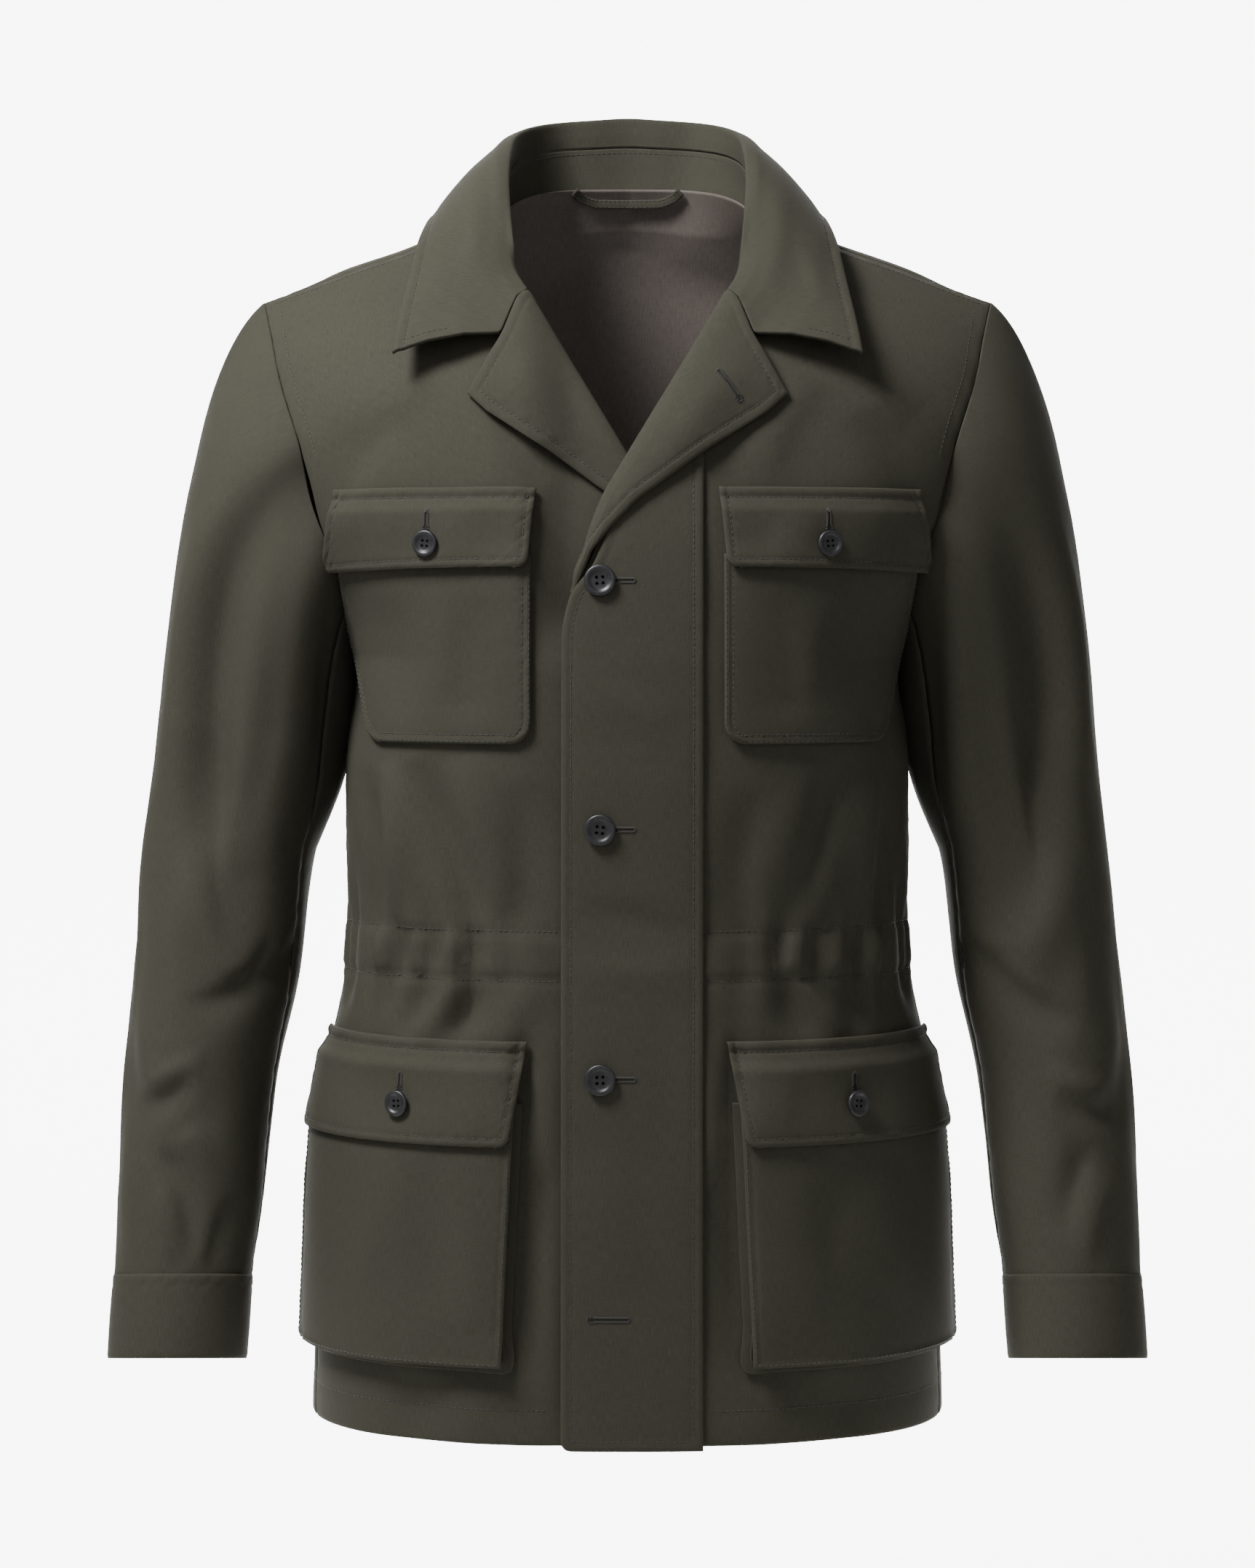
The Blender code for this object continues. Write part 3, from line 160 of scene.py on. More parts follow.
CLOTH = 0.0013  # the thickness of one layer
HEM_Z = -0.698
HEM_ROWS = (HEM_Z, -0.6968, -0.6950)  # close together, where the hem is turned
UNDERARM_Z = -0.223
ARC_POINTS = 80
FRONT_POWER = 2.4  # how square the rings are; 2 is an ellipse
SIDES = {"left": 1.0, "right": -1.0}  # the wearer's


def table(columns, *rows):
    """A short table with named columns."""
    data = np.array(rows, float)
    return {name: data[:, i] for i, name in enumerate(columns.split())}


def curve(xs, ys, x):
    """A smooth curve through a table's points that doesn't overshoot them."""
    x = np.clip(x, xs[0], xs[-1])
    step, rise = np.diff(xs), np.diff(ys)
    slope = rise / step
    same = slope[:-1] * slope[1:] > 0
    total = np.where(same, slope[:-1] + slope[1:], 1.0)
    inner = np.where(same, 2 * slope[:-1] * slope[1:] / total, 0.0)
    tangent = np.concatenate([slope[:1], inner, slope[-1:]])
    i = np.clip(np.searchsorted(xs, x) - 1, 0, len(step) - 1)
    t = (x - xs[i]) / step[i]
    a = ys[i] * (1 + 2 * t) * (1 - t) ** 2 + ys[i + 1] * t * t * (3 - 2 * t)
    return a + step[i] * t * (1 - t) * (tangent[i] * (1 - t) - tangent[i + 1] * t)


def section(rows, z):
    """What a table says at one height, column by column."""
    return [curve(rows["z"], rows[name], z) for name in list(rows)[1:]]


def lengths(line):
    return np.concatenate([[0], np.cumsum(np.linalg.norm(np.diff(line, axis=0), axis=1))])


def points_at(line, at, along=None):
    """The points at the given distances along a line, or at the given values of along."""
    along = lengths(line) if along is None else along
    return np.stack([np.interp(at, along, line[:, k]) for k in range(3)], axis=-1)


def spread(line, shares):
    """The points at the given shares of a line's length."""
    along = lengths(line)
    return points_at(line, np.asarray(shares) * along[-1], along)


def unit(vectors):
    return vectors / np.linalg.norm(vectors, axis=-1, keepdims=True)


def fade(x, start, end):
    """0 before start, 1 after end, smooth between."""
    t = np.clip((x - start) / (end - start), 0, 1)
    return t * t * (3 - 2 * t)


# Below the underarm each section is a closed ring, wider than deep.
TORSO = table(
    "z      width   front   back",
    (-0.698, 0.2000, 0.1380, 0.1180),
    (-0.560, 0.1950, 0.1370, 0.1160),
    (-0.470, 0.1880, 0.1360, 0.1120),
    (-0.417, 0.1785, 0.1340, 0.1080),
    (-0.387, 0.1765, 0.1330, 0.1070),
    (-0.340, 0.1775, 0.1340, 0.1100),
    (-0.2925, 0.1775, 0.1350, 0.1140),
    (-0.223, 0.1720, 0.1350, 0.1180),
)
SIDE_SEAM_FORWARD = table("z forward", (-0.698, 0.040), (-0.387, 0.022), (-0.223, 0.0))
# Above it a row runs from the centre to the armhole and climbs towards the neck.
FRONT_YOKE = table(
    "z      armhole width   centre_y side_y   rise",
    (-0.223, 0.1720, 0.1720, -0.1350, 0.0000, 0.0000),
    (-0.206, 0.1735, 0.1755, -0.1335, -0.0029, 0.0100),
    (-0.176, 0.1780, 0.1868, -0.1305, -0.0102, 0.0190),
    (-0.138, 0.1900, 0.2030, -0.1205, -0.0287, 0.0430),
    (-0.093, 0.2014, 0.2160, -0.0990, -0.0380, 0.0650),
    (-0.050, 0.2160, 0.2275, -0.0680, -0.0206, 0.0770),
    (-0.022, 0.2230, 0.2330, -0.0355, -0.0070, 0.0780),
    (0.000, 0.2290, 0.2400, -0.0035, 0.0089, 0.0820),
)
FRONT_EDGE = table(
    "z       x",
    (-0.7500, -0.0385),
    (-0.2060, -0.0375),
    (-0.1740, -0.0315),
    (-0.1590, -0.0250),
    (-0.1256, -0.0120),
    (-0.1009, 0.0024),
    (-0.0473, 0.0346),
    (-0.0010, 0.0618),
    (0.0120, 0.0690),
    (0.0300, 0.0750),
    (0.0530, 0.0820),
)
UNDERLAP_Z = -0.235  # below it the wearer's right front lies close under the left one
UNDERLAP_CLOSE, UNDERLAP_ROLLED = 0.0030, 0.0110  # how deep it lies there, and behind the lapels
UNDERLAP_OUT = (0.030, 0.068)  # across these x it comes out from under the other front
FOLD_INSET = 0.0046  # the panel stops this far inside the fold that the lapel makes round it


def arc(width, centre_y, side_y, power, end_x):
    """A row's outline from the centre out to end_x."""
    end = math.asin(min(1, end_x / width) ** (power / 2))
    angle = np.linspace(0, end, ARC_POINTS)
    x = width * np.sin(angle) ** (2 / power)
    y = side_y + (centre_y - side_y) * np.cos(angle) ** (2 / power)
    return x, y


@lru_cache(maxsize=None)
def ring(z):
    """Half a ring below the underarm, from centre front to centre back, and its side seam's share."""
    width, front, back = section(TORSO, z)
    x, y = arc(width, -front, 0, FRONT_POWER, width)
    x2, y2 = arc(width, back, 0, FRONT_POWER, width)
    x, y = np.append(x, x2[-2::-1]), np.append(y, y2[-2::-1])
    line = np.stack([x, y, np.full(len(x), z)], axis=1)
    forward = section(SIDE_SEAM_FORWARD, z)[0]
    along = lengths(line)
    seam = np.interp(-forward, line[:, 1], along) / along[-1]
    return line, seam


@lru_cache(maxsize=None)
def front_row(z):
    """The front's surface along the row that ends at height z, from the centre outwards."""
    if z <= UNDERARM_Z:
        line, seam = ring(z)
        return spread(line, np.linspace(0, seam, 160))
    armhole, width, centre_y, side_y, rise = section(FRONT_YOKE, z)
    x, y = arc(width, centre_y, side_y, FRONT_POWER, armhole)
    return np.stack([x, y, z + rise * (1 - x / armhole)], axis=1)


# The forms of the front and of the whole round are kept as points one step apart.
STEP = 0.002
HEIGHTS = np.arange(-0.770, 0.060, STEP)
AROUND = np.arange(0, 0.440, STEP)


def front_form():
    """The front's points at every height and distance from the centre, one step apart."""
    ends = np.append(np.linspace(HEIGHTS[0], UNDERARM_Z, 50)[:-1], np.linspace(UNDERARM_Z, 0, 150))
    rows = []
    for end in ends:
        line = front_row(float(end))
        s = lengths(line)
        beyond = np.maximum(AROUND - s[-1], 0)[:, None] * unit(line[-1] - line[-2])
        rows.append(points_at(line, AROUND, s) + beyond)
    rows = np.array(rows)
    form = np.empty((len(HEIGHTS), len(AROUND), 3))
    for c in range(len(AROUND)):
        for k in range(3):
            form[:, c, k] = np.interp(HEIGHTS, rows[:, c, 2], rows[:, c, k])
    return form


def torso_form():
    """The same round the body below the underarm, from the centre front to the centre back."""
    rows = []
    for z in HEIGHTS:
        line, _ = ring(min(float(z), UNDERARM_Z))
        rows.append(points_at(line, AROUND))
        rows[-1][:, 2] = z
    return np.array(rows)


def on(form, along, z):
    """Points of a form at distances along its rows and heights."""
    along, z = np.broadcast_arrays(np.asarray(along, float), np.asarray(z, float))
    c = np.clip(np.abs(along) / STEP, 0, form.shape[1] - 1.001)
    r = np.clip((z - HEIGHTS[0]) / STEP, 0, form.shape[0] - 1.001)
    ci, ri = c.astype(int), r.astype(int)
    cf, rf = (c - ci)[..., None], (r - ri)[..., None]
    low = form[ri, ci] * (1 - cf) + form[ri, ci + 1] * cf
    high = form[ri + 1, ci] * (1 - cf) + form[ri + 1, ci + 1] * cf
    point = low * (1 - rf) + high * rf
    point[..., 0] *= np.where(along < 0, -1, 1)
    return point


FRONT_FORM = front_form()
TORSO_FORM = torso_form()


def front_at(along, z):
    return on(FRONT_FORM, along, z)


def torso_at(along, z):
    return on(TORSO_FORM, along, z)


def normal_at(surface, along, z, step=0.004):
    across = surface(along + step, z) - surface(along - step, z)
    up = surface(along, z + step) - surface(along, z - step)
    return unit(np.cross(across, up))


def lifted(surface, along, z, lift):
    """A point of a surface, moved out."""
    return surface(along, z) + normal_at(surface, along, z) * np.asarray(lift)[..., None]


def distance_at(x, z):
    """How far along the front's row the point with this x lies."""
    low, high = 0.0, float(AROUND[-1])
    for _ in range(26):
        middle = (low + high) / 2
        if front_at(middle, z)[0] < abs(x):
            low = middle
        else:
            high = middle
    return math.copysign(low, x)


def front_point(x, z):
    return front_at(distance_at(x, z), z)


def front_edge_x(z):
    return float(section(FRONT_EDGE, z)[0])


def panel_edge_x(z):
    return front_edge_x(z) + FOLD_INSET * fade(z, -0.190, -0.165) * (1 - fade(z, 0.016, 0.032))


def front_reach(row):
    """How far along a row the front panel starts and ends."""
    start = 0.0
    s = lengths(row)
    for _ in range(8):
        z = np.interp(abs(start), row[:, 0], row[:, 2])
        start = panel_edge_x(z)
    return math.copysign(np.interp(abs(start), row[:, 0], s), start), s[-1]


def underlapped(grid):
    """The points of the wearer's right front and lapel, sunk where they lie under the left one."""
    grid = grid.copy()
    x, z = grid[..., 0], grid[..., 2]
    depth = UNDERLAP_CLOSE + (UNDERLAP_ROLLED - UNDERLAP_CLOSE) * fade(z, UNDERLAP_Z, -0.19)
    grid[..., 1] += depth * (1 - fade(x, *UNDERLAP_OUT))
    return grid


def closer_at_ends(count, share=0.6):
    """Shares from 0 to 1 that lie closer together near both ends, where the sewing is."""
    t = np.linspace(0, 1, count)
    return t - share * np.sin(2 * np.pi * t) / (2 * np.pi)


def front_grid(heights, columns):
    """Points of one front, row by row from the hem, each from the front edge to the side."""
    grid = []
    for z in heights:
        row = front_row(float(z))
        start, end = front_reach(row)
        stations = start + (end - start) * closer_at_ends(columns)
        points = points_at(row, np.abs(stations))
        points[:, 0] *= np.where(stations < 0, -1, 1)
        grid.append(points)
    return np.array(grid)


def outward_normals(grid, away_from=(0.0, 0.0), facing_in=False):
    """Smooth normals of a grid of points, on its visible side."""
    normals = np.cross(np.gradient(grid, axis=1), np.gradient(grid, axis=0))
    normals /= np.maximum(np.linalg.norm(normals, axis=2, keepdims=True), 1e-12)
    away = (normals[..., :2] * (grid[..., :2] - np.array(away_from))).sum()
    return -normals if (away > 0) == facing_in else normals


def edge_distances(grid):
    """How far each point lies from the grid's first and last column and first and last row."""
    across = np.linalg.norm(np.diff(grid, axis=1), axis=2)
    up = np.linalg.norm(np.diff(grid, axis=0), axis=2)
    first = np.concatenate([np.zeros((len(grid), 1)), np.cumsum(across, axis=1)], axis=1)
    bottom = np.concatenate([np.zeros((1, grid.shape[1])), np.cumsum(up, axis=0)], axis=0)
    return {"first": first, "last": first[:, -1:] - first, "bottom": bottom, "top": bottom[-1:] - bottom}


def creased(grid, normals, folds, across=None):
    """The cloth pushed in and out along soft folds, each steeper on one side than on the other."""
    across, up = grid[..., 0] if across is None else across, grid[..., 2]
    rise = np.zeros(grid.shape[:2])
    for x1, z1, x2, z2, bow, width, height in zip(*folds.values()):
        way = np.array([x2 - x1, z2 - z1])
        length = np.linalg.norm(way)
        way /= length
        t = ((across - x1) * way[0] + (up - z1) * way[1]) / length
        off = (across - x1) * way[1] - (up - z1) * way[0] - bow * 4 * t * (1 - t)
        spread_out = width * np.where(off > 0, 1.35, 0.75)
        taper = np.sin(np.pi * np.clip(t, 0, 1)) ** 0.9
        rise += height * taper * np.exp(-((off / spread_out) ** 2))
    return grid + normals * rise[..., None]


def uneven(across, up):
    """The slight unevenness of hanging cloth, under half a millimetre."""
    waves = np.sin(across * 61 + 1.7 * np.sin(up * 23)) * np.sin(up * 37 + 1.1 * np.sin(across * 29))
    return 0.0003 * waves + 0.0002 * np.sin(across * 113 + up * 71)


def edge_of(grid, side):
    return {"first": grid[:, 0], "last": grid[:, -1], "bottom": grid[0], "top": grid[-1]}[side]


def near_edges(grid, sides):
    """How far each point of a grid lies from the nearest of its named edges."""
    lines = []
    for side in sides:
        edge = edge_of(grid, side)
        s = lengths(edge)
        lines.append(points_at(edge, np.linspace(0, s[-1], int(s[-1] / 0.0004) + 2), s))
    edges = KDTree(sum(len(line) for line in lines))
    for i, point in enumerate(np.concatenate(lines)):
        edges.insert(point, i)
    edges.balance()
    return np.array([edges.find(point)[2] for point in grid.reshape(-1, 3)]).reshape(grid.shape[:2])


def pressed(grid, normals, free=(), seams=(), stitch=0.006, plump=0.0002):
    """Free edges are turned and rounded, with a furrow along their stitching; seams sink a little."""
    far = edge_distances(grid)
    along = far["bottom"] + far["first"]
    rise = np.zeros(grid.shape[:2])
    if free:
        d = near_edges(grid, free)
        turn, furrow = (-0.0005, 0.0, 0.0009), (-0.00035, stitch, 0.0011)
        for height, at, width in (turn, furrow, (plump, stitch * 0.5, stitch * 0.42)):
            rise += height * np.exp(-(((d - at) / width) ** 2))
        pucker = np.sin(along * 690 + 2.0 * np.sin(along * 171)) * np.sin(along * 263 + 1.0)
        rise += 0.00022 * pucker * np.exp(-(((d - stitch) / 0.0045) ** 2))
    if seams:
        d = near_edges(grid, seams)
        rise -= 0.0005 * np.exp(-((d / 0.0018) ** 2))
        pucker = np.sin(along * 410 + 1.6 * np.sin(along * 97)) * np.sin(along * 151)
        rise += 0.0003 * pucker * np.exp(-((d / 0.009) ** 2))
    return grid + normals * rise[..., None]


def faces_of(grid):
    """The faces of a grid's points, as a list of corners."""
    rows, columns = grid.shape[:2]
    r, c = np.meshgrid(np.arange(rows - 1), np.arange(columns - 1), indexing="ij")
    corner = (r * columns + c).ravel()
    return np.stack([corner, corner + 1, corner + columns + 1, corner + columns], axis=1)


def surface_tree(grid):
    """A grid's surface, to find the nearest point on it or the point that a ray hits."""
    return BVHTree.FromPolygons(grid.reshape(-1, 3).tolist(), faces_of(grid).tolist())


def meshed(name, points, faces, finish, smooth=True):
    """A mesh of one finish."""
    mesh = bpy.data.meshes.new(name)
    mesh.from_pydata([tuple(point) for point in points], [], faces)
    mesh.materials.append(finish)
    if smooth:
        mesh.shade_smooth()
    return mesh


def in_scene(name, data):
    """A new object of the scene."""
    made = bpy.data.objects.new(name, data)
    bpy.context.scene.collection.objects.link(made)
    return made


def sewn(
    node, grid, thickness, finish=wool_cotton_plain_weave,
    away_from=(0.0, 0.0), facing_in=False,
):
    """A piece of cloth in its solid's place: the side that shows, its grain as UVs in metres, and its
    thickness behind."""
    faces = faces_of(grid)
    normals = np.cross(np.gradient(grid, axis=1), np.gradient(grid, axis=0))
    shown = (normals[..., :2] * (grid[..., :2] - np.array(away_from))).sum() > 0
    if shown == facing_in:
        faces = faces[:, ::-1]
    mesh = meshed(f"{node}_cloth", grid.reshape(-1, 3).tolist(), faces.tolist(), finish)
    far = edge_distances(grid)
    grain = np.stack([far["first"] - far["first"][:, -1:] / 2, far["bottom"]], axis=2).reshape(-1, 2)
    uv = mesh.uv_layers.new(name="grain")
    uv.data.foreach_set("uv", grain[faces.ravel()].ravel())
    piece = in_scene(f"{node}_cloth", mesh)
    wall = piece.modifiers.new("thickness", "SOLIDIFY")
    wall.thickness = thickness
    wall.offset = -1
    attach(piece, "root")
    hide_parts(node)


def line_inset(grid, side, inset, start=0.0, stop=0.0):
    """Points along one side of a grid at an inset from it, short of the other two sides."""
    far = near_edges(grid, [side])
    if side in ("first", "last"):
        grid, far = np.swapaxes(grid, 0, 1), far.T
    if side in ("last", "top"):
        grid, far = grid[::-1], far[::-1]
    line = []
    for column, d in zip(np.swapaxes(grid, 0, 1), far.T):
        last = int(np.argmax(d > inset)) + 1
        line.append(points_at(column[:last], inset, d[:last]))
    line = np.array(line)
    s = lengths(line)
    return points_at(line, np.linspace(start, s[-1] - stop, max(4, int(s[-1] / 0.002))), s)


# The seams are sewn with a dark corespun thread, whose plies give it a fine change of shade.
STITCH = 0.0027  # the length of one stitch
STITCH_GAP = 0.0007
SEWING_THREAD = 0.00050  # the thickness of the thread

corespun_polyester_thread, thread_tree, thread_shader = material("corespun_polyester_thread")
ply = add(thread_tree, "ShaderNodeTexNoise", {"Scale": 900.0, "Detail": 1.0})
ply_shade = add(thread_tree, "ShaderNodeValToRGB", {"Fac": ply.outputs[0]})
shades(ply_shade.color_ramp, (0.35, "#1f1e1a"), (0.65, "#2c2b25"))
connect(
    thread_tree, thread_shader, {"Base Color": ply_shade.outputs[0], "Roughness": 0.6, "Sheen Weight": 0.1}
)


def spindles(name, ends, facing, thick):
    """Short threads lying on the cloth between pairs of points; facing gives the cloth's side."""
    points, faces = [], []
    for first, last in ends:
        way = (last - first) / max(np.linalg.norm(last - first), 1e-9)
        out = facing((first + last) / 2)
        side = unit(np.cross(way, out))
        out = np.cross(side, way)
        base = len(points)
        points.append(first - out * thick * 0.25)
        for f in (0.16, 0.5, 0.84):
            centre = first + (last - first) * f + out * thick * (0.18 if f == 0.5 else 0.08)
            points += [centre + side * thick * 0.55, centre + out * thick * 0.5]
            points += [centre - side * thick * 0.55, centre - out * thick * 0.5]
        points.append(last - out * thick * 0.25)
        for k in range(4):
            n = (k + 1) % 4
            faces.append((base, base + 1 + n, base + 1 + k))
            for r in (0, 4):
                faces.append((base + 1 + r + k, base + 1 + r + n, base + 5 + r + n, base + 5 + r + k))
            faces.append((base + 9 + k, base + 9 + n, base + 13))
    rows = in_scene(name, meshed(name, points, faces, corespun_polyester_thread))
    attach(rows, "root")


def stitched(name, lines, facing, length=STITCH):
    """Rows of lockstitch along lines on the cloth."""
    ends = []
    for line in lines:
        s = lengths(line)
        for begin in np.arange(0.0008, s[-1] - length, length + STITCH_GAP):
            ends.append(points_at(line, [begin, begin + length], s))
    spindles(name, ends, facing, SEWING_THREAD)


def facing_of(grid, away_from=(0.0, 0.0), facing_in=False):
    """Tells the side of a piece that shows, at the point nearest to a given one."""
    normals = outward_normals(grid, away_from, facing_in).reshape(-1, 3)
    faces, tree = faces_of(grid), surface_tree(grid)

    def facing(point):
        return unit(normals[faces[tree.find_nearest(Vector(point))[2]]].mean(axis=0))

    return facing


WAIST_TOP_Z, WAIST_BOTTOM_Z = -0.387, -0.417  # the two rows of stitching of the cord's channel
RUFFLE = 0.0015  # the fine gathers inside the channel
# Gathers of the drawn waist: where along the row, how wide and deep, how far they run up and down.
GATHERS = table(
    "along  width  depth   above   below   slant",
    (0.072, 0.0085, 0.0022, 0.040, 0.030, 0.10),
    (0.097, 0.0078, 0.0032, 0.075, 0.052, -0.06),
    (0.124, 0.0084, 0.0024, 0.030, 0.040, 0.12),
    (0.149, 0.0075, 0.0036, 0.062, 0.034, -0.10),
    (0.176, 0.0086, 0.0027, 0.048, 0.060, 0.05),
    (0.204, 0.0080, 0.0031, 0.070, 0.030, -0.05),
    (0.262, 0.0094, 0.0026, 0.055, 0.048, 0.08),
    (0.293, 0.0084, 0.0034, 0.034, 0.062, -0.08),
    (0.325, 0.0090, 0.0028, 0.066, 0.036, 0.06),
    (0.357, 0.0082, 0.0036, 0.042, 0.050, -0.04),
    (0.389, 0.0092, 0.0026, 0.058, 0.032, 0.07),
)


def round_body(points):
    """How far round the body from the centre front each point lies."""
    along = np.empty(points.shape[:2])
    for r, row in enumerate(points):
        line, _ = ring(min(float(row[0, 2]), UNDERARM_Z))
        angle = np.unwrap(np.arctan2(line[:, 0], -line[:, 1]))
        along[r] = np.interp(np.arctan2(np.abs(row[:, 0]), -row[:, 1]), angle, lengths(line))
    return along


def drawn_in(along, z):
    """How far the cloth sinks between the gathers, and swells beside them."""
    top, bottom = WAIST_TOP_Z, WAIST_BOTTOM_Z
    rise = np.zeros(along.shape)
    for at, width, depth, above, below, slant in zip(*GATHERS.values()):
        near = fade(z, bottom - below, bottom) * (1 - fade(z, top, top + above))
        off = along - at - slant * (z - (top + bottom) / 2)
        wider = width * (1 + 0.8 * fade(np.abs(z - (top + bottom) / 2), 0.015, 0.07))
        rise -= depth * near * np.exp(-((off / wider) ** 2))
        rise += depth * 0.35 * near * np.exp(-(((off - 1.7 * wider) / wider) ** 2))
    ruffle = np.sin(along * 390 + 2.2 * np.sin(along * 95)) * (0.6 + 0.4 * np.sin(along * 57 + 0.6))
    channel = fade(z, bottom - 0.014, bottom + 0.004) * (1 - fade(z, top - 0.004, top + 0.018))
    rise += RUFFLE * ruffle * channel * fade(along, 0.050, 0.075)
    for line in (top, bottom):
        rise -= 0.0008 * np.exp(-(((z - line) / 0.0016) ** 2))
    rise += 0.0006 * fade(z, bottom, bottom + 0.008) * (1 - fade(z, top - 0.008, top))
    return rise


def creases(*rows):
    """Folds in millimetres: both ends' x and z, the bow, the width and the height, outwards positive."""
    return table("x1 z1 x2 z2 bow width height", *(np.array(rows) / 1000))


FRONT_CREASES = {
    "right": creases(
        (120, -40, 72, -118, 6, 16, 2.6), (88, -60, 53, -122, 3, 11, -3), (176, -85, 110, -30, -6, 18, 2.4),
        (186, -150, 140, -70, 6, 15, -2.8), (190, -205, 160, -300, 6, 13, -3),
        (147, -286, 137, -390, -2, 8.74, 6.9), (132, -284, 93, -394, 5, 11.04, -7.9),
        (162, -290, 158, -392, 3, 8.28, -5.6), (104, -282, 76, -380, -4, 12.88, 4.6),
        (70, -296, 62, -392, 2, 11.04, -3.6), (94.6, -384, 99, -418, 0, 6.624, -5.6),
        (107.5, -386, 110, -418, 1, 5.52, 4.3), (119, -386, 123, -418, 0, 5.704, -4.9),
        (128, -388, 130, -416, 0, 5.152, 3.6), (137, -386, 139, -420, 0, 5.704, -4.6),
        (152, -386, 152, -418, 0, 6.072, 4), (88, -408, 112, -458, 3, 9.016, -6.6),
        (104, -410, 128, -452, 2, 7.36, 4.6), (124, -412, 140, -455, 2, 8.28, -4.9),
        (72, -415, 70, -470, 1, 9.2, 4), (66, -430, 64, -520, 1, 8, -3.4), (53, -440, 50, -540, 1, 8, 2.6),
        (59, -480, 66, -660, 2, 9, -3.6), (49, -540, 47, -690, 0, 8, 2),
        (130, -655, 136, -705, 2, 18, -2.4), (95, -655, 90, -705, -2, 16, 2),
    ),
    "left": creases(
        (118, -45, 78, -120, 6, 15, 2.4), (172, -80, 116, -30, -5, 18, 2.4),
        (184, -145, 138, -75, 6, 15, -2.6), (188, -210, 158, -305, 6, 13, -3.2),
        (150, -284, 141, -388, -3, 8.74, 5.5), (136, -282, 102, -392, 4, 10.58, -5.7),
        (166, -286, 160, -390, 2, 8.74, -4.5), (110, -286, 88, -386, -3, 11.96, 3.7),
        (78, -300, 66, -392, 2, 11.04, -3), (90, -385, 92, -418, 0, 6.256, -4),
        (103, -386, 106, -418, 1, 5.52, 3.2), (114, -384, 117, -418, 0, 5.888, -4),
        (127, -387, 129, -417, 0, 5.336, 3), (139, -385, 141, -420, 0, 6.072, -3.7),
        (154, -386, 155, -418, 0, 5.888, 3.2), (96, -408, 118, -455, 3, 8.464, -4.7),
        (112, -410, 134, -450, 2, 7.36, 3.2), (132, -412, 150, -452, 2, 8.28, -3.7),
        (68, -430, 62, -510, -1, 9, -3.2), (56, -440, 52, -545, 0, 8, 2.4),
        (60, -485, 67, -655, -2, 9, -3.6), (126, -656, 130, -706, -2, 17, -2.4),
        (88, -656, 82, -704, 2, 16, 2),
    ),
}
HEM_STITCH = 0.0215
ARMHOLE_STITCH, SHOULDER_STITCH = 0.0095, 0.0050
BESIDE_PLACKET = 0.0425  # the placket covers the channel's stitching nearer to the centre
HEM_START = 0.047  # and the hem's
ARMHOLE_SHOWS = (-0.100, -0.004)  # the heights between which the armhole's stitching shows
UNDER_COLLAR = 0.055  # how much of the shoulder seam the collar covers
FRONT_COLUMNS = 72
PANEL_TREES = {}  # the panels' surfaces in the left side's coordinates, for what is sewn onto them


def hung(points, normals, along, folds, way=1):
    """A body panel with its creases, its unevenness and the gathers of its waist."""
    x, z = points[..., 0], points[..., 2]
    grid = creased(points, normals, folds)
    below = fade(-z, -UNDERARM_Z, -UNDERARM_Z + 0.02)
    rise = uneven(x * way, z) + drawn_in(along, z) * below
    return grid + normals * rise[..., None]


def level_line(columns, z):
    """The points at one height of a panel's columns."""
    return np.array([points_at(column, z, column[:, 2]) for column in columns])


front_heights = np.append(np.linspace(HEM_Z, UNDERARM_Z, 136)[:-1], np.linspace(UNDERARM_Z, 0, 70))
front_heights[:3] = HEM_ROWS
front_points = front_grid(front_heights, FRONT_COLUMNS)
front_normals = outward_normals(front_points)
front_along = round_body(front_points)
for side, way in SIDES.items():
    grid = hung(front_points, front_normals, front_along, FRONT_CREASES[side], way)
    if side == "right":
        grid = underlapped(grid)
    grid = pressed(grid, front_normals, free=["bottom"], seams=["last", "top"], stitch=HEM_STITCH)
    PANEL_TREES[side] = surface_tree(grid)
    below_rows = grid[: np.searchsorted(front_heights, UNDERARM_Z)]
    columns = [below_rows[:, c] for c in range(4, FRONT_COLUMNS)]
    columns = [column for column in columns if column[len(column) // 2, 0] >= BESIDE_PLACKET]
    channel = [level_line(columns, z) * [way, 1, 1] for z in (WAIST_TOP_Z, WAIST_BOTTOM_Z)]
    grid = grid * [way, 1, 1]
    sewn(f"front_{side}", grid, CLOTH)
    hem = line_inset(grid, "bottom", HEM_STITCH)
    hem = hem[hem[:, 0] * way > HEM_START]
    armhole = line_inset(grid, "last", ARMHOLE_STITCH)
    armhole = armhole[(armhole[:, 2] > ARMHOLE_SHOWS[0]) & (armhole[:, 2] < ARMHOLE_SHOWS[1])]
    shoulder = line_inset(grid, "top", SHOULDER_STITCH, UNDER_COLLAR, 0.004)
    stitched(f"front_{side}_stitching", [*channel, hem, armhole, shoulder], facing_of(grid))


# ---------------------------------------------------------------- the back
# One shaped panel of shell cloth from the neckline and shoulder seams to the hem. It wraps
# forward to the side seams, and the same cord draws it in at the waist.

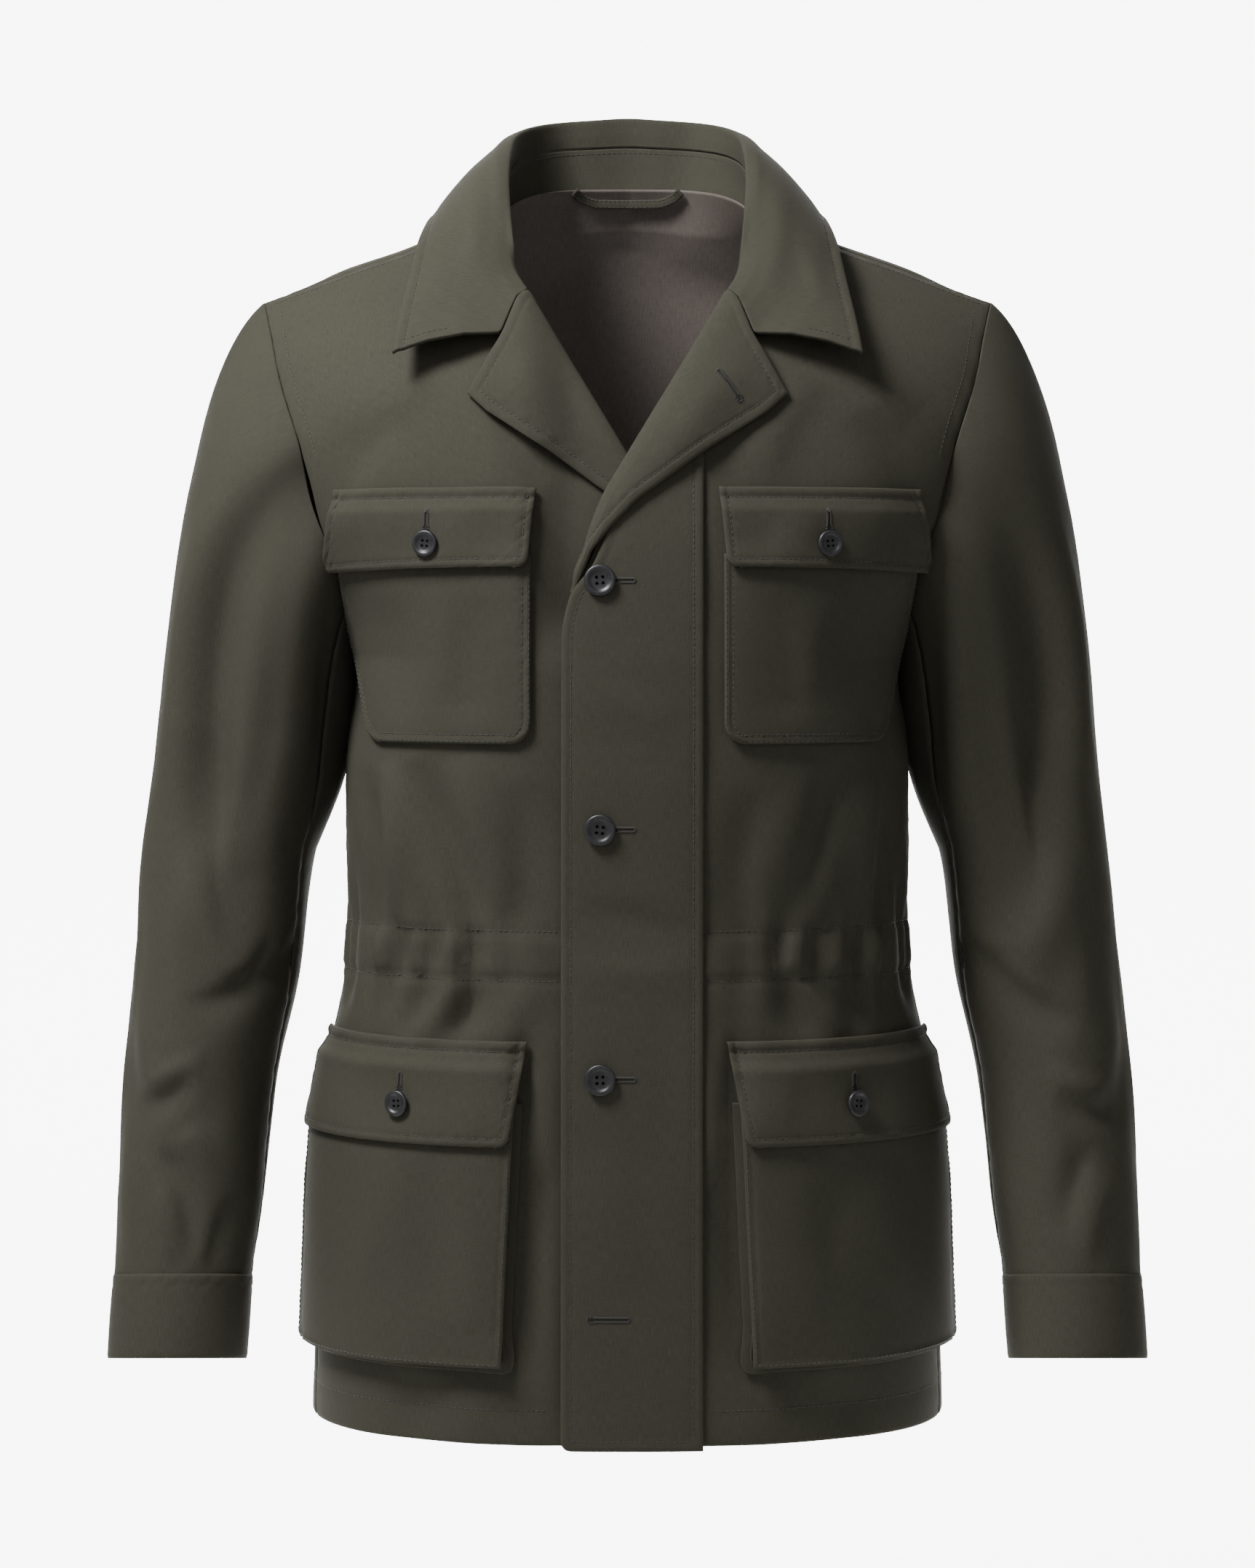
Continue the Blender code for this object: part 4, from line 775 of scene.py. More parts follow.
BACK_YOKE = table(
    "z      armhole width  centre_y side_y  rise   power",
    (-0.223, 0.1720, 0.1720, 0.1180, 0.0000, 0.0000, 2.4),
    (-0.206, 0.1735, 0.1755, 0.1190, 0.0096, 0.0020, 2.4),
    (-0.172, 0.1800, 0.1880, 0.1210, 0.0255, 0.0070, 2.3),
    (-0.110, 0.1970, 0.2130, 0.1185, 0.0440, 0.0250, 2.3),
    (-0.045, 0.2160, 0.2350, 0.1060, 0.0218, 0.0650, 2.0),
    (-0.012, 0.2260, 0.2400, 0.0965, 0.0174, 0.0640, 1.2),
)
BACK_RISE_POWER = 1.3
SHOULDER_POINT = np.array([0.229, 0.004, 0.0])
NECK_POINT = np.array([0.082, -0.003, 0.053])
RIDGE = 0.012  # how far the shoulder ridge rises over its seam
BACK_AXIS = (0, 0.02)
NECKLINE = [(0, 0.080, 0.079), (0.030, 0.076, 0.0785), (0.058, 0.056, 0.074), (0.076, 0.027, 0.064)]
# Folds of the back: blade folds from the armholes, and falls above and below the waist.
BACK_CREASES = creases(
    (176, -120, 90, -60, 6, 18, 2.9), (168, -175, 70, -130, -6, 16, -2.7),
    (150, -235, 105, -345, 5, 13, 3.5), (120, -260, 100, -378, 3, 11, -3.5),
    (64, -250, 58, -380, -3, 14, 2.9), (20, -270, 28, -382, 2, 12, -2.6),
    (-170, -115, -84, -66, -7, 17, 2.7), (-172, -180, -78, -128, 7, 17, -2.9),
    (-148, -245, -112, -350, -4, 12, 3.7), (-126, -255, -98, -380, -4, 12, -3.2),
    (-70, -258, -60, -376, 3, 13, 2.7), (-30, -262, -22, -384, -2, 13, -2.4),
    (110, -425, 122, -590, 4, 14, -3.8), (80, -425, 85, -560, 2, 12, 3.2),
    (34, -430, 40, -640, -3, 16, -3.2), (-10, -425, -6, -570, 2, 13, 3),
    (-52, -428, -60, -610, 3, 14, -3.5), (-96, -425, -104, -585, -3, 13, 3.4),
    (-132, -430, -144, -560, -2, 13, -3.2),
)


def spline(points, count):
    """Points spread evenly along a smooth curve through the given ones."""
    points = np.array(points, float)
    along = lengths(points)
    fine = np.linspace(0, along[-1], 200)
    line = np.stack([curve(along, points[:, k], fine) for k in range(3)], axis=1)
    return spread(line, np.linspace(0, 1, count))


def back_top_row(shares):
    """The last row of the back: the neckline, then the shoulder seam."""
    neck = spline([*NECKLINE, NECK_POINT], 60)
    line = np.concatenate([neck, np.linspace(NECK_POINT, SHOULDER_POINT, 60)[1:]])
    return spread(line, shares)


def neck_share():
    neck = lengths(spline([*NECKLINE, NECK_POINT], 60))[-1]
    return neck / (neck + np.linalg.norm(SHOULDER_POINT - NECK_POINT))


def back_yoke_row(z):
    armhole, width, centre_y, side_y, rise, power = section(BACK_YOKE, z)
    x, y = arc(width, centre_y, side_y, power, armhole)
    return np.stack([x, y, z + rise * (1 - (x / armhole) ** BACK_RISE_POWER)], axis=1)


BACK_TOP_HEIGHT = -0.020
BACK_COLUMNS = 60  # of half a back, centre to side


def back_half_grid(below, above, top):
    """Points of half the back, each row from the centre back to the side."""
    shares = np.linspace(0, 1, BACK_COLUMNS + 1)
    grid = []
    for z in below:
        line, seam = ring(float(z))
        grid.append(spread(line[::-1], shares * (1 - seam)))
    for z in above:
        grid.append(spread(back_yoke_row(float(z)), shares))
    neck = neck_share()
    corner = round(neck * BACK_COLUMNS)
    shoulder = np.linspace(neck, 1, BACK_COLUMNS - corner + 1)[1:]
    top_shares = np.append(np.linspace(0, neck, corner + 1), shoulder)
    low, high = spread(back_yoke_row(BACK_TOP_HEIGHT), shares), back_top_row(top_shares)
    for f in top:
        row = low + (high - low) * f
        row[:, 2] += RIDGE * 4 * f * (1 - f) * fade(shares, 0.1, 0.5) * (1 - fade(shares, 0.8, 1.0) * 0.7)
        grid.append(row)
    return np.array(grid)


def whole(half):
    """A symmetric piece from the half that starts on the centre line."""
    return np.concatenate([half[:, :0:-1] * [-1, 1, 1], half], axis=1)


back_below = np.linspace(HEM_Z, UNDERARM_Z, 124)
back_below[:3] = HEM_ROWS
back_above = np.linspace(UNDERARM_Z, BACK_TOP_HEIGHT, 50)[1:-1]
back_half = back_half_grid(back_below, back_above, np.linspace(0, 1, 26))
back_points = whole(back_half)
back_normals = outward_normals(back_points, away_from=BACK_AXIS)
back_grid = hung(back_points, back_normals, round_body(back_points), BACK_CREASES)
back_seams = ["first", "last", "top"]
back_grid = pressed(back_grid, back_normals, free=["bottom"], seams=back_seams, stitch=HEM_STITCH)
PANEL_TREES["back"] = surface_tree(back_grid)
sewn("back", back_grid, CLOTH, away_from=BACK_AXIS)
back_columns = [back_grid[: len(back_below), c] for c in range(1, 2 * BACK_COLUMNS)]
back_lines = [level_line(back_columns, z) for z in (WAIST_TOP_Z, WAIST_BOTTOM_Z)]
back_lines.insert(0, line_inset(back_grid, "bottom", HEM_STITCH))
stitched("back_stitching", back_lines, facing_of(back_grid, away_from=BACK_AXIS))


# ---------------------------------------------------------------- the sleeves and cuffs
# Two-piece set-in sleeves: a top sleeve and a narrower under sleeve, seamed down the front and the
# back of the arm, and a plain cuff band. They hang in long folds and break softly at the elbow.

SLEEVE = table(
    "z       x       y        half_x  half_y  lean",
    (-0.660, 0.2808, -0.0545, 0.0425, 0.0460, 0.190),
    (-0.609, 0.2779, -0.0440, 0.0428, 0.0480, 0.180),
    (-0.560, 0.2742, -0.0340, 0.0458, 0.0510, 0.160),
    (-0.490, 0.2700, -0.0200, 0.0485, 0.0545, 0.120),
    (-0.418, 0.2592, -0.0070, 0.0524, 0.0590, 0.060),
    (-0.357, 0.2528, 0.0010, 0.0529, 0.0630, 0.020),
    (-0.300, 0.2420, 0.0050, 0.0572, 0.0670, 0.000),
    (-0.268, 0.2375, 0.0050, 0.0592, 0.0690, 0.000),
)
SLEEVE_RINGS = np.linspace(-0.268, -0.6125, 104)
SLEEVE_TURN = math.radians(33)  # how far its seams turn inwards on the way to the cuff
CUFF_SEAM_Z = -0.609
CUFF_ROWS = (-0.660, -0.6592, -0.6575)  # close together, where the cuff is folded
CUFF_STITCH = 0.045
CUFF_PROUD = 0.0008
DOUBLE = 0.0022  # two layers turned and pressed
CAP_STEPS = closer_at_ends(38)[1:-1]
CAP_REACH, UNDER_REACH = 0.045, 0.012  # how far the cloth heads out from the armhole, above and below
CAP_SETTLE, UNDER_SETTLE = 0.130, 0.020  # and how far before the arm's first ring it turns down
ARMHOLE_GAP = 0.0001
# The solid's seams lie on the second column of rows up each side of its armhole.
FRONT_SEAM_Z, BACK_SEAM_Z = -0.194, -0.170
ARMHOLE_ROWS = list(np.linspace(UNDERARM_Z, -0.004, 50)[1:])
SLEEVE_FOLDS = table(
    "angle  z       width  height  slant  depth",
    (70, -0.300, 16, 0.070, 0.2, 0.0040),
    (118, -0.330, 18, 0.110, -0.2, 0.0030),
    (100, -0.420, 22, 0.028, 1.0, 0.0030),
    (140, -0.500, 26, 0.024, 1.2, 0.0034),
    (95, -0.535, 24, 0.020, -1.0, 0.0028),
    (215, -0.290, 18, 0.090, 0.1, 0.0032),
    (250, -0.390, 24, 0.030, -0.8, 0.0034),
    (235, -0.520, 26, 0.024, 0.9, 0.0028),
)
# Finer folds: for x they have the distance round the arm, from its inner side by way of the front.
SLEEVE_CREASES = {
    "right": creases(
        (80, -85, 60, -415, -44, 21, -20), (0, -190, 0, -345, 0, 22, 6.6),
        (345.6, -190, 345.6, -345, 0, 22, 6.6), (74, -90, 68, -360, 12, 14, 4.8),
        (128, -120, 144, -320, 3, 14, 4), (50, -150, 34, -330, 3, 10, -3.6),
        (108, -330, 104, -450, -4, 16, 3.4), (40, -398, 100, -440, 10, 11, -4.6),
        (84, -480, 130, -502, 4, 9, -4.6), (78, -466, 124, -484, 4, 8, 2.8),
        (70, -514, 100, -532, -2, 10, 3.4), (104, -524, 72, -590, 3, 10, -4.6),
        (118, -530, 92, -596, 4, 10, 2.8), (46, -556, 58, -604, -3, 10, -3),
        (16, -395, 50, -430, 4, 10, -3), (150, -360, 164, -560, 6, 16, -2.8),
        (190, -120, 230, -330, 8, 16, -4.6), (232, -140, 262, -320, -6, 15, 4),
        (200, -380, 262, -408, 8, 12, -4.6), (214, -420, 272, -398, -5, 11, 3.4),
        (190, -480, 246, -520, 6, 12, -4), (160, -250, 170, -430, 3, 13, 3),
    ),
    "left": creases(
        (84, -90, 64, -400, -38, 21, -17.5), (0, -190, 0, -345, 0, 22, 6.6),
        (345.6, -190, 345.6, -345, 0, 22, 6.6), (76, -95, 64, -370, 10, 14, 4.6),
        (130, -115, 142, -310, 2, 14, 4), (52, -145, 36, -320, 2, 10, -3.4),
        (110, -340, 106, -450, -3, 15, 3.2), (44, -404, 104, -448, 9, 11, -4.4),
        (80, -490, 126, -506, 4, 9, -4.2), (74, -474, 120, -490, 4, 8, 3),
        (106, -520, 76, -580, 3, 10, -4.2), (120, -540, 90, -600, 4, 10, 2.8),
        (18, -400, 54, -425, -4, 11, -3), (152, -370, 160, -550, 5, 16, -2.6),
        (186, -130, 222, -340, 9, 16, -4.4), (228, -130, 268, -310, -5, 14, 3.8),
        (196, -385, 258, -415, 7, 12, -4.6), (210, -430, 268, -402, -6, 11, 3.4),
        (186, -490, 240, -515, 6, 12, -3.8),
    ),
}
ARM_RADIUS = 0.055


def armhole_points():
    """The armhole, from the underarm up its front edge to the shoulder and down its back edge."""
    front = [front_row(z)[-1] for z in [UNDERARM_Z] + ARMHOLE_ROWS]
    back = [back_yoke_row(z)[-1] for z in reversed(ARMHOLE_ROWS)]
    return np.array(front + [SHOULDER_POINT] + back)


def sleeve_angles():
    """The angle of each sleeve column, from the inner side by way of the front."""
    points = armhole_points()
    along = lengths(np.concatenate([points, points[:1]]))
    top = len(ARMHOLE_ROWS) + 1
    down_back = (along[top:-1] - along[top]) / (along[-1] - along[top])
    shares = np.concatenate([along[:top] / along[top] / 2, 0.5 + down_back / 2])
    return shares * 2 * math.pi


def down_the_arm(z):
    """0 at the first ring, 1 at the cuff's seam."""
    return np.clip((SLEEVE_RINGS[0] - z) / (SLEEVE_RINGS[0] - CUFF_SEAM_Z), 0, 1)


def sleeve_ring(z, angles):
    x, y, half_x, half_y, lean = section(SLEEVE, z)
    turned = angles - SLEEVE_TURN * down_the_arm(z)
    ring_y = -half_y * np.sin(turned)
    sink = np.zeros(len(angles))
    for a, fold_z, width, height, slant, depth in zip(*SLEEVE_FOLDS.values()):
        off = (np.degrees(turned) - a + 180) % 360 - 180
        tall = (z - fold_z) - slant * np.radians(off) * half_x
        sink += depth * np.exp(-((off / width) ** 2) - (tall / height) ** 2)
    shrink = 1 - sink / half_x
    return np.stack([x - half_x * np.cos(turned) * shrink, y + ring_y * shrink, z - lean * ring_y], axis=1)


def sleeve_grid():
    """Rows of a left sleeve from the cuff seam up to the armhole; columns go round it."""
    angles = sleeve_angles()
    rings = [sleeve_ring(z, angles) for z in SLEEVE_RINGS]
    start = armhole_points()
    under = ((1 + np.cos(angles)) / 2) ** 2  # 1 under the arm, 0 at the shoulder
    out = np.stack([0.80 - 0.50 * under, -0.25 * np.sin(angles), -0.62 - 0.33 * under], axis=1)
    out = unit(out)
    reach = (CAP_REACH * (1 - under) + UNDER_REACH * under)[:, None]
    settle = (CAP_SETTLE * (1 - np.cos(angles)) / 2 + UNDER_SETTLE)[:, None]
    end = rings[0]
    first, second = start + out * reach, end + unit(end - rings[1]) * settle
    cap = []
    for t in CAP_STEPS:
        near = (1 - t) ** 3 * start + 3 * (1 - t) ** 2 * t * first
        cap.append(near + 3 * (1 - t) * t * t * second + t**3 * end)
    rows = [start + out * ARMHOLE_GAP] + cap + rings
    return np.array(rows[::-1])


sleeve_points = sleeve_grid()
sleeve_count = sleeve_points.shape[1]
front_seam = int(np.argmin(np.abs(np.array(ARMHOLE_ROWS) - FRONT_SEAM_Z))) + 1
back_seam = sleeve_count - 1 - int(np.argmin(np.abs(np.array(ARMHOLE_ROWS) - BACK_SEAM_Z)))
around = list(range(sleeve_count))
TOP_SLEEVE = around[front_seam : back_seam + 1]
UNDER_SLEEVE = around[back_seam:] + around[: front_seam + 1]
closed_points = np.concatenate([sleeve_points[:, -1:], sleeve_points, sleeve_points[:, :1]], axis=1)
sleeve_normals = np.cross(np.gradient(closed_points, axis=1), np.gradient(closed_points, axis=0))[:, 1:-1]
sleeve_normals = unit(sleeve_normals)
if (sleeve_normals * (sleeve_points - sleeve_points.mean(axis=1, keepdims=True))).sum() < 0:
    sleeve_normals = -sleeve_normals
sleeve_around = (sleeve_angles() - SLEEVE_TURN * down_the_arm(sleeve_points[..., 2])) * ARM_RADIUS
sleeve_axis = sleeve_points.mean(axis=1, keepdims=True)[..., :2]
cuff_turns = np.linspace(0.254, 2 * math.pi + 0.246, 110)
for side, way in SIDES.items():
    grid = creased(sleeve_points, sleeve_normals, SLEEVE_CREASES[side], across=sleeve_around)
    settled = fade(sleeve_points[..., 2], CUFF_SEAM_Z, CUFF_SEAM_Z + 0.02)
    rise = uneven(sleeve_around * way, sleeve_points[..., 2]) * settled
    grid = grid + sleeve_normals * rise[..., None]
    for name, columns in (("sleeve_top", TOP_SLEEVE), ("sleeve_under", UNDER_SLEEVE)):
        strip = pressed(grid[:, columns], sleeve_normals[:, columns], seams=["first", "last", "bottom"])
        sewn(
            f"{name}_{side}", strip * [way, 1, 1], CLOTH,
            away_from=sleeve_axis * [way, 1],
        )

    cuff = []
    for z in np.append(CUFF_ROWS, np.linspace(-0.655, CUFF_SEAM_Z, 26)):
        row = sleeve_ring(float(z), cuff_turns)
        cuff.append(row + unit(row - row.mean(axis=0)) * CUFF_PROUD)
    cuff = np.array(cuff)
    middle = cuff.mean(axis=(0, 1))
    cuff_out = outward_normals(cuff, away_from=middle[:2])
    seams = ["first", "last", "top"]
    cuff = pressed(cuff, cuff_out, free=["bottom"], seams=seams, stitch=CUFF_STITCH, plump=0.0003)
    sewn(
        f"cuff_{side}", cuff * [way, 1, 1], DOUBLE,
        away_from=middle[:2] * [way, 1],
    )


# ---------------------------------------------------------------- the lining and hanger loop
# The back neck is faced with a smooth taupe lining, sewn into the neck seam, and a flat strap of
# shell cloth is caught in that seam at both ends to hang the jacket by.

LINING_THREAD = 0.0009  # drawn coarser than the real 0.1 mm
# Cupro is spun smooth and fine, so it is less matt than the shell, with a soft light along its folds.
taupe_cupro_twill = woven(
    "taupe_cupro_twill", "#524b48", "#5d5652", "#68605c", LINING_THREAD,
    roughness=0.5, sheen=0.05, relief=0.12,
)
WALL = 0.0018  # shell cloth with its seam allowances
LINING_INSET = 0.0045
LOOP = table("x z", (0, 0.0690), (0.0190, 0.0690), (0.0240, 0.0700), (0.0300, 0.0725), (0.0340, 0.0760))
LOOP_WIDTH = 0.006
LOOP_OFF = 0.0036  # the strap stands off the lining
LOOP_CLOTH = 0.0012
LINING_CLOTH = 0.0008
LINING_BOTTOM_Z = -0.194
LINING_TURN = 16  # rows that turn in to the neck seam
LINING_IN, LINING_DOWN, LINING_BOW = 0.0035, 0.0007, 0.0012  # where they meet it, and their bow


def outward(points):
    """Level directions away from the neck's axis."""
    way = points - [0, 0.012, 0]
    way[:, 2] = 0
    return unit(way)


def lining_grid():
    """Half the lining, from the points of the back moved in, its top edge along the neck seam."""
    corner = round(neck_share() * BACK_COLUMNS)
    start = len(back_below) + int(np.argmin(np.abs(back_above - LINING_BOTTOM_Z)))
    part = whole(back_half)
    part = part + outward_normals(part, away_from=BACK_AXIS) * -(WALL + LINING_INSET)
    part = part[start:, BACK_COLUMNS : BACK_COLUMNS + corner + 1]
    part[:, 0, 0] = 0
    neck = back_half[-1, : corner + 1]
    way = outward(neck)
    top = neck - way * LINING_IN - [0, 0, LINING_DOWN]
    for k in range(LINING_TURN, 0, -1):
        f = (LINING_TURN + 1 - k) / LINING_TURN
        part[-k] = part[-1 - LINING_TURN] * (1 - f) + top * f + way * LINING_BOW * 4 * f * (1 - f)
    return part


def lining_y(grid, x, z):
    at_x = [[np.interp(x, row[:, 0], row[:, k]) for k in (1, 2)] for row in grid]
    y, heights = np.array(at_x).T
    return float(np.interp(z, heights, y))


lining_half = lining_grid()
lining = whole(lining_half)
sewn(
    "back_lining", lining, LINING_CLOTH,
    finish=taupe_cupro_twill, facing_in=True,
)
loop_x = np.linspace(0, LOOP["x"][-1], 40)
loop_z = curve(LOOP["x"], LOOP["z"], loop_x)
loop_half = np.array([(x, lining_y(lining_half, x, z) - LOOP_OFF, z) for x, z in zip(loop_x, loop_z)])
loop_path = whole(loop_half[None])[0]
loop_across = unit(np.cross(np.gradient(loop_path, axis=0), [0, 1, 0]))
strap = []
for share in np.linspace(-1, 1, 13):
    bulge = np.array([0, -0.0004 * (1 - share**2), 0])
    strap.append(loop_path + loop_across * LOOP_WIDTH / 2 * share + bulge)
strap = np.array(strap)
sewn("hanger_loop", strap, LOOP_CLOTH, facing_in=True)
edges = [loop_path + loop_across * LOOP_WIDTH * 0.32 * k + [0, -0.0003, 0] for k in (-1, 1)]
stitched("hanger_loop_stitching", edges, lambda point: np.array([0.0, -1.0, 0.0]), length=0.0022)


# ---------------------------------------------------------------- the lapels
# Each front turns out at the neck into a notched lapel: two layers of shell cloth pressed flat,
# rolled round the front's edge and topstitched just inside their own edge.

# The top row is the gorge, the notch and the side of the point; below the break the free edge
# runs on and dies away into the placket's edge.
LAPEL = table(
    "roll_z   edge_x   edge_z   stand_off",
    (0.0020, 0.0960, -0.0645, 0.0060),
    (-0.0380, 0.0840, -0.0755, 0.0065),
    (-0.0840, 0.0467, -0.0990, 0.0075),
    (-0.1220, 0.0060, -0.1280, 0.0065),
    (-0.1415, -0.0105, -0.1450, 0.0052),
    (-0.1580, -0.0215, -0.1590, 0.0044),
    (-0.1670, -0.0248, -0.1685, 0.0042),
    (-0.1770, -0.0295, -0.1785, 0.0040),
    (-0.1840, -0.0328, -0.1855, 0.0038),
)
# The facing behind and round the roll: how far past the front's edge, and how far off the panel.
ROLL_TURN = ((0.009, "under"), (0.004, "under"), (-0.0032, -0.0035), (-0.0034, 0.0012))
UNDER, UNDER_FLAT = 0.0045, 0.0012  # behind the wall it lies this deep, and deeper where it is pressed
END_DROP = 0.013  # at the top it starts below the collar's own end
# Shares of the way from the roll to the free edge, before and after the notch.
LAPEL_STATIONS, LAPEL_OUTER = (0.10, 0.24), (0.62, 0.82, 1.0)
ROLL_STAND, FLAT_STAND = 0.0042, 0.0038  # how far off the panel it lies beside the roll, and pressed
ROLL_BOW = 0.0040
NOTCH_SHARE, NOTCH_IN, NOTCH_DOWN = 0.438, 0.0027, 0.0014
NOTCH = 6  # its place in a row
LAPEL_STITCH = 0.0064
GORGE_GAP = 0.0006
LIFT = 0.0006  # air under a piece that is sewn onto a panel
LAPEL_END_ROWS = 16  # of its 41 rows, where it dies away into the placket's edge


def lapel_grid(flat):
    """The facing of a left lapel: from behind the roll, round it and out to the free edge."""
    shares = np.linspace(0, 1, len(LAPEL["roll_z"]))
    grid = []
    for share in np.linspace(0, 1, 41):
        z, end_x, end_z, stand = (np.interp(share, shares, column) for column in LAPEL.values())
        x = front_edge_x(z)
        reach = abs(end_x - x)
        room = min(1.0, (reach + 0.003) / 0.009)
        drop = END_DROP * (1 - fade(share, 0, 0.13))
        row = []
        for tuck, lift in ROLL_TURN:
            under = lift == "under"
            lift = -(UNDER + WALL + UNDER_FLAT * flat) if under else lift
            low = z - drop * (1.0 if under else 0.3 * (lift < 0))
            row.append(lifted(front_at, distance_at(front_edge_x(low), low) + tuck * room, low, lift))
        for v in (*LAPEL_STATIONS, NOTCH_SHARE, *LAPEL_OUTER):
            bend = min(v / NOTCH_SHARE, (1 - v) / (1 - NOTCH_SHARE)) * (1 - fade(share, 0, 0.3))
            px, pz = x + (end_x - x) * v - NOTCH_IN * bend, z + (end_z - z) * v - NOTCH_DOWN * bend
            roll = ROLL_BOW * math.sin(math.pi * v) * min(1, reach / 0.05)
            lift = ROLL_STAND + (stand - ROLL_STAND) * v + roll
            if flat:  # pressed down where the other front lies over it
                lift = FLAT_STAND + (lift - FLAT_STAND) * fade(px, 0.020, 0.055)
            row.append(lifted(front_at, distance_at(px, pz), pz, lift))
        grid.append(row)
    return np.array(grid)


def refined(grid, rows, columns, straight=0.0):
    """A smooth grid through a coarse one's points; straight is how far its rows stay unrounded."""

    def along_first(points, count, unrounded):
        steps = np.linalg.norm(np.diff(points, axis=0), axis=-1)
        steps = steps.reshape(len(steps), -1).mean(axis=1)
        at = np.concatenate([[0], np.cumsum(np.maximum(steps, 1e-6))])
        slope = np.diff(points, axis=0) / np.diff(at)[:, None, None]
        before, after = np.diff(at)[:-1, None, None], np.diff(at)[1:, None, None]
        inner = (slope[:-1] * after + slope[1:] * before) / (before + after)
        tangent = np.concatenate([slope[:1], inner, slope[-1:]])
        x = closer_at_ends(count) * at[-1]
        i = np.clip(np.searchsorted(at, x, side="right") - 1, 0, len(at) - 2)
        step = (at[i + 1] - at[i])[:, None, None]
        t = (x - at[i])[:, None, None] / step
        value = points[i] * (1 + 2 * t) * (1 - t) ** 2 + points[i + 1] * t * t * (3 - 2 * t)
        value += step * t * (1 - t) * (tangent[i] * (1 - t) - tangent[i + 1] * t)
        line = points[i] * (1 - t) + points[i + 1] * t
        return value * (1 - unrounded) + line * unrounded

    unrounded = np.broadcast_to(straight, grid.shape[1])[None, :, None]
    grid = along_first(grid, rows, unrounded)
    return np.swapaxes(along_first(np.swapaxes(grid, 0, 1), columns, 0.0), 0, 1)


LAPEL_CREASES = creases(
    (70, -40, 20, -110, 4, 16, 1.7), (85, -62, 50, -90, -3, 10, -1.2),
)
LAPEL_GRIDS = {}
for side, way in SIDES.items():
    coarse = lapel_grid(flat=side == "right")
    if side == "right":
        coarse = underlapped(coarse)
    for row in coarse[-LAPEL_END_ROWS:]:
        low = row[:, 2].mean()
        anchor = lifted(front_at, distance_at(front_edge_x(low) + 0.0015, low), low, LIFT)
        row[:] = anchor + (row - anchor) * (1 - 0.68 * fade(-low, 0.160, 0.188))
    fine = refined(coarse, 90, 64, straight=1.0)
    out = outward_normals(fine)
    shown = fade(edge_distances(fine)["first"], 0.016, 0.024)[..., None]
    bent = creased(fine, out * shown, LAPEL_CREASES)
    edged = pressed(bent, out, free=["last", "bottom"], stitch=LAPEL_STITCH)
    grid = (bent + (edged - bent) * (1 - fade(-fine[..., 2:], 0.164, 0.176))) * [way, 1, 1]
    LAPEL_GRIDS[side] = grid
    sewn(f"lapel_{side}", grid, DOUBLE)
    edge = line_inset(grid, "last", LAPEL_STITCH, LAPEL_STITCH, 0.008)
    notch = line_inset(grid, "bottom", LAPEL_STITCH, lengths(grid[0])[-1] - 0.042, LAPEL_STITCH)
    stitched(f"lapel_{side}_stitching", [edge, notch], facing_of(grid))


# ---------------------------------------------------------------- the collar
# A folded collar: the stand rises from the neck seam, and the leaf rolls over it and falls to
# points on the chest. Both are double, pressed, and the leaf is topstitched round its edge.

COLLAR = table(
    "roll_x  roll_y   roll_z   edge_x  edge_y   edge_z",
    (0.0000, 0.0860, 0.1240, 0.0000, 0.1160, 0.0560),
    (0.0430, 0.0790, 0.1205, 0.0560, 0.1120, 0.0550),
    (0.0640, 0.0540, 0.1140, 0.1000, 0.0900, 0.0530),
    (0.0740, 0.0200, 0.1010, 0.1230, 0.0360, 0.0560),
    (0.0755, -0.0100, 0.0790, 0.1290, -0.0120, 0.0440),
    (0.0730, -0.0400, 0.0450, 0.1360, -0.0580, 0.0050),
    (0.0685, -0.0600, 0.0200, 0.1405, -0.0820, -0.0200),
    (0.0600, -0.0775, 0.0060, 0.1430, -0.0960, -0.0370),
)
COLLAR_COLUMNS = 13
ROLL_HALF = 0.0042  # half the thickness of the fold
STAND_HEIGHT = 0.62  # of the way from the neck seam to the roll
GORGE_WAY = np.array([0.91, 0.0, 0.41])  # from the lapel to the collar across their seam
LEAF_BOW = 0.0060  # how far the leaf bows out between its roll and its edge
LEAF_STATIONS = (0.18, 0.38, 0.60, 0.80, 0.94, 1.0)  # shares of the way from the roll to the edge
SEAM_CLEAR = 0.0010  # the leaf's seam on the stand lies this far inside the line to the roll
STAND_END = 0.0078  # at its front ends the seam moves in and meets the neck line
NECK_CLEAR = 0.0005
LEAF_CLEAR = 0.0011  # the stand stops this far below the leaf's seam
# The collar's end at the gorge, behind and round the roll: how far past the front edge, how high.
GORGE_FOLD = ((0.0005, -0.0105), (-0.0015, -0.0080), (-0.0032, -0.0035))
POINT_BOW = 0.0040  # the leaf's lower edge, from the notch to the point, is a little hollow
COLLAR_STITCH, STAND_STITCH = 0.0062, 0.0030


def neck_line(count):
    """The neck seam from the centre back round to the front, which it meets at the gorge."""
    on_front = [front_point(front_edge_x(z), z) for z in (0.030, 0.012, 0.002)]
    return spline([*NECKLINE, NECK_POINT, *on_front], count)


def collar_lines():
    """The neck seam, the roll line and the leaf's edge, over half a collar."""
    stations = [np.stack([COLLAR[f"{line}_{axis}"] for axis in "xyz"], axis=1) for line in ("roll", "edge")]
    shares = np.linspace(0, 1, COLLAR_COLUMNS)
    base = lengths(stations[0]) / lengths(stations[0])[-1]
    lines = [np.stack([curve(base, line[:, k], shares) for k in range(3)], axis=1) for line in stations]
    return neck_line(COLLAR_COLUMNS), lines[0], lines[1]


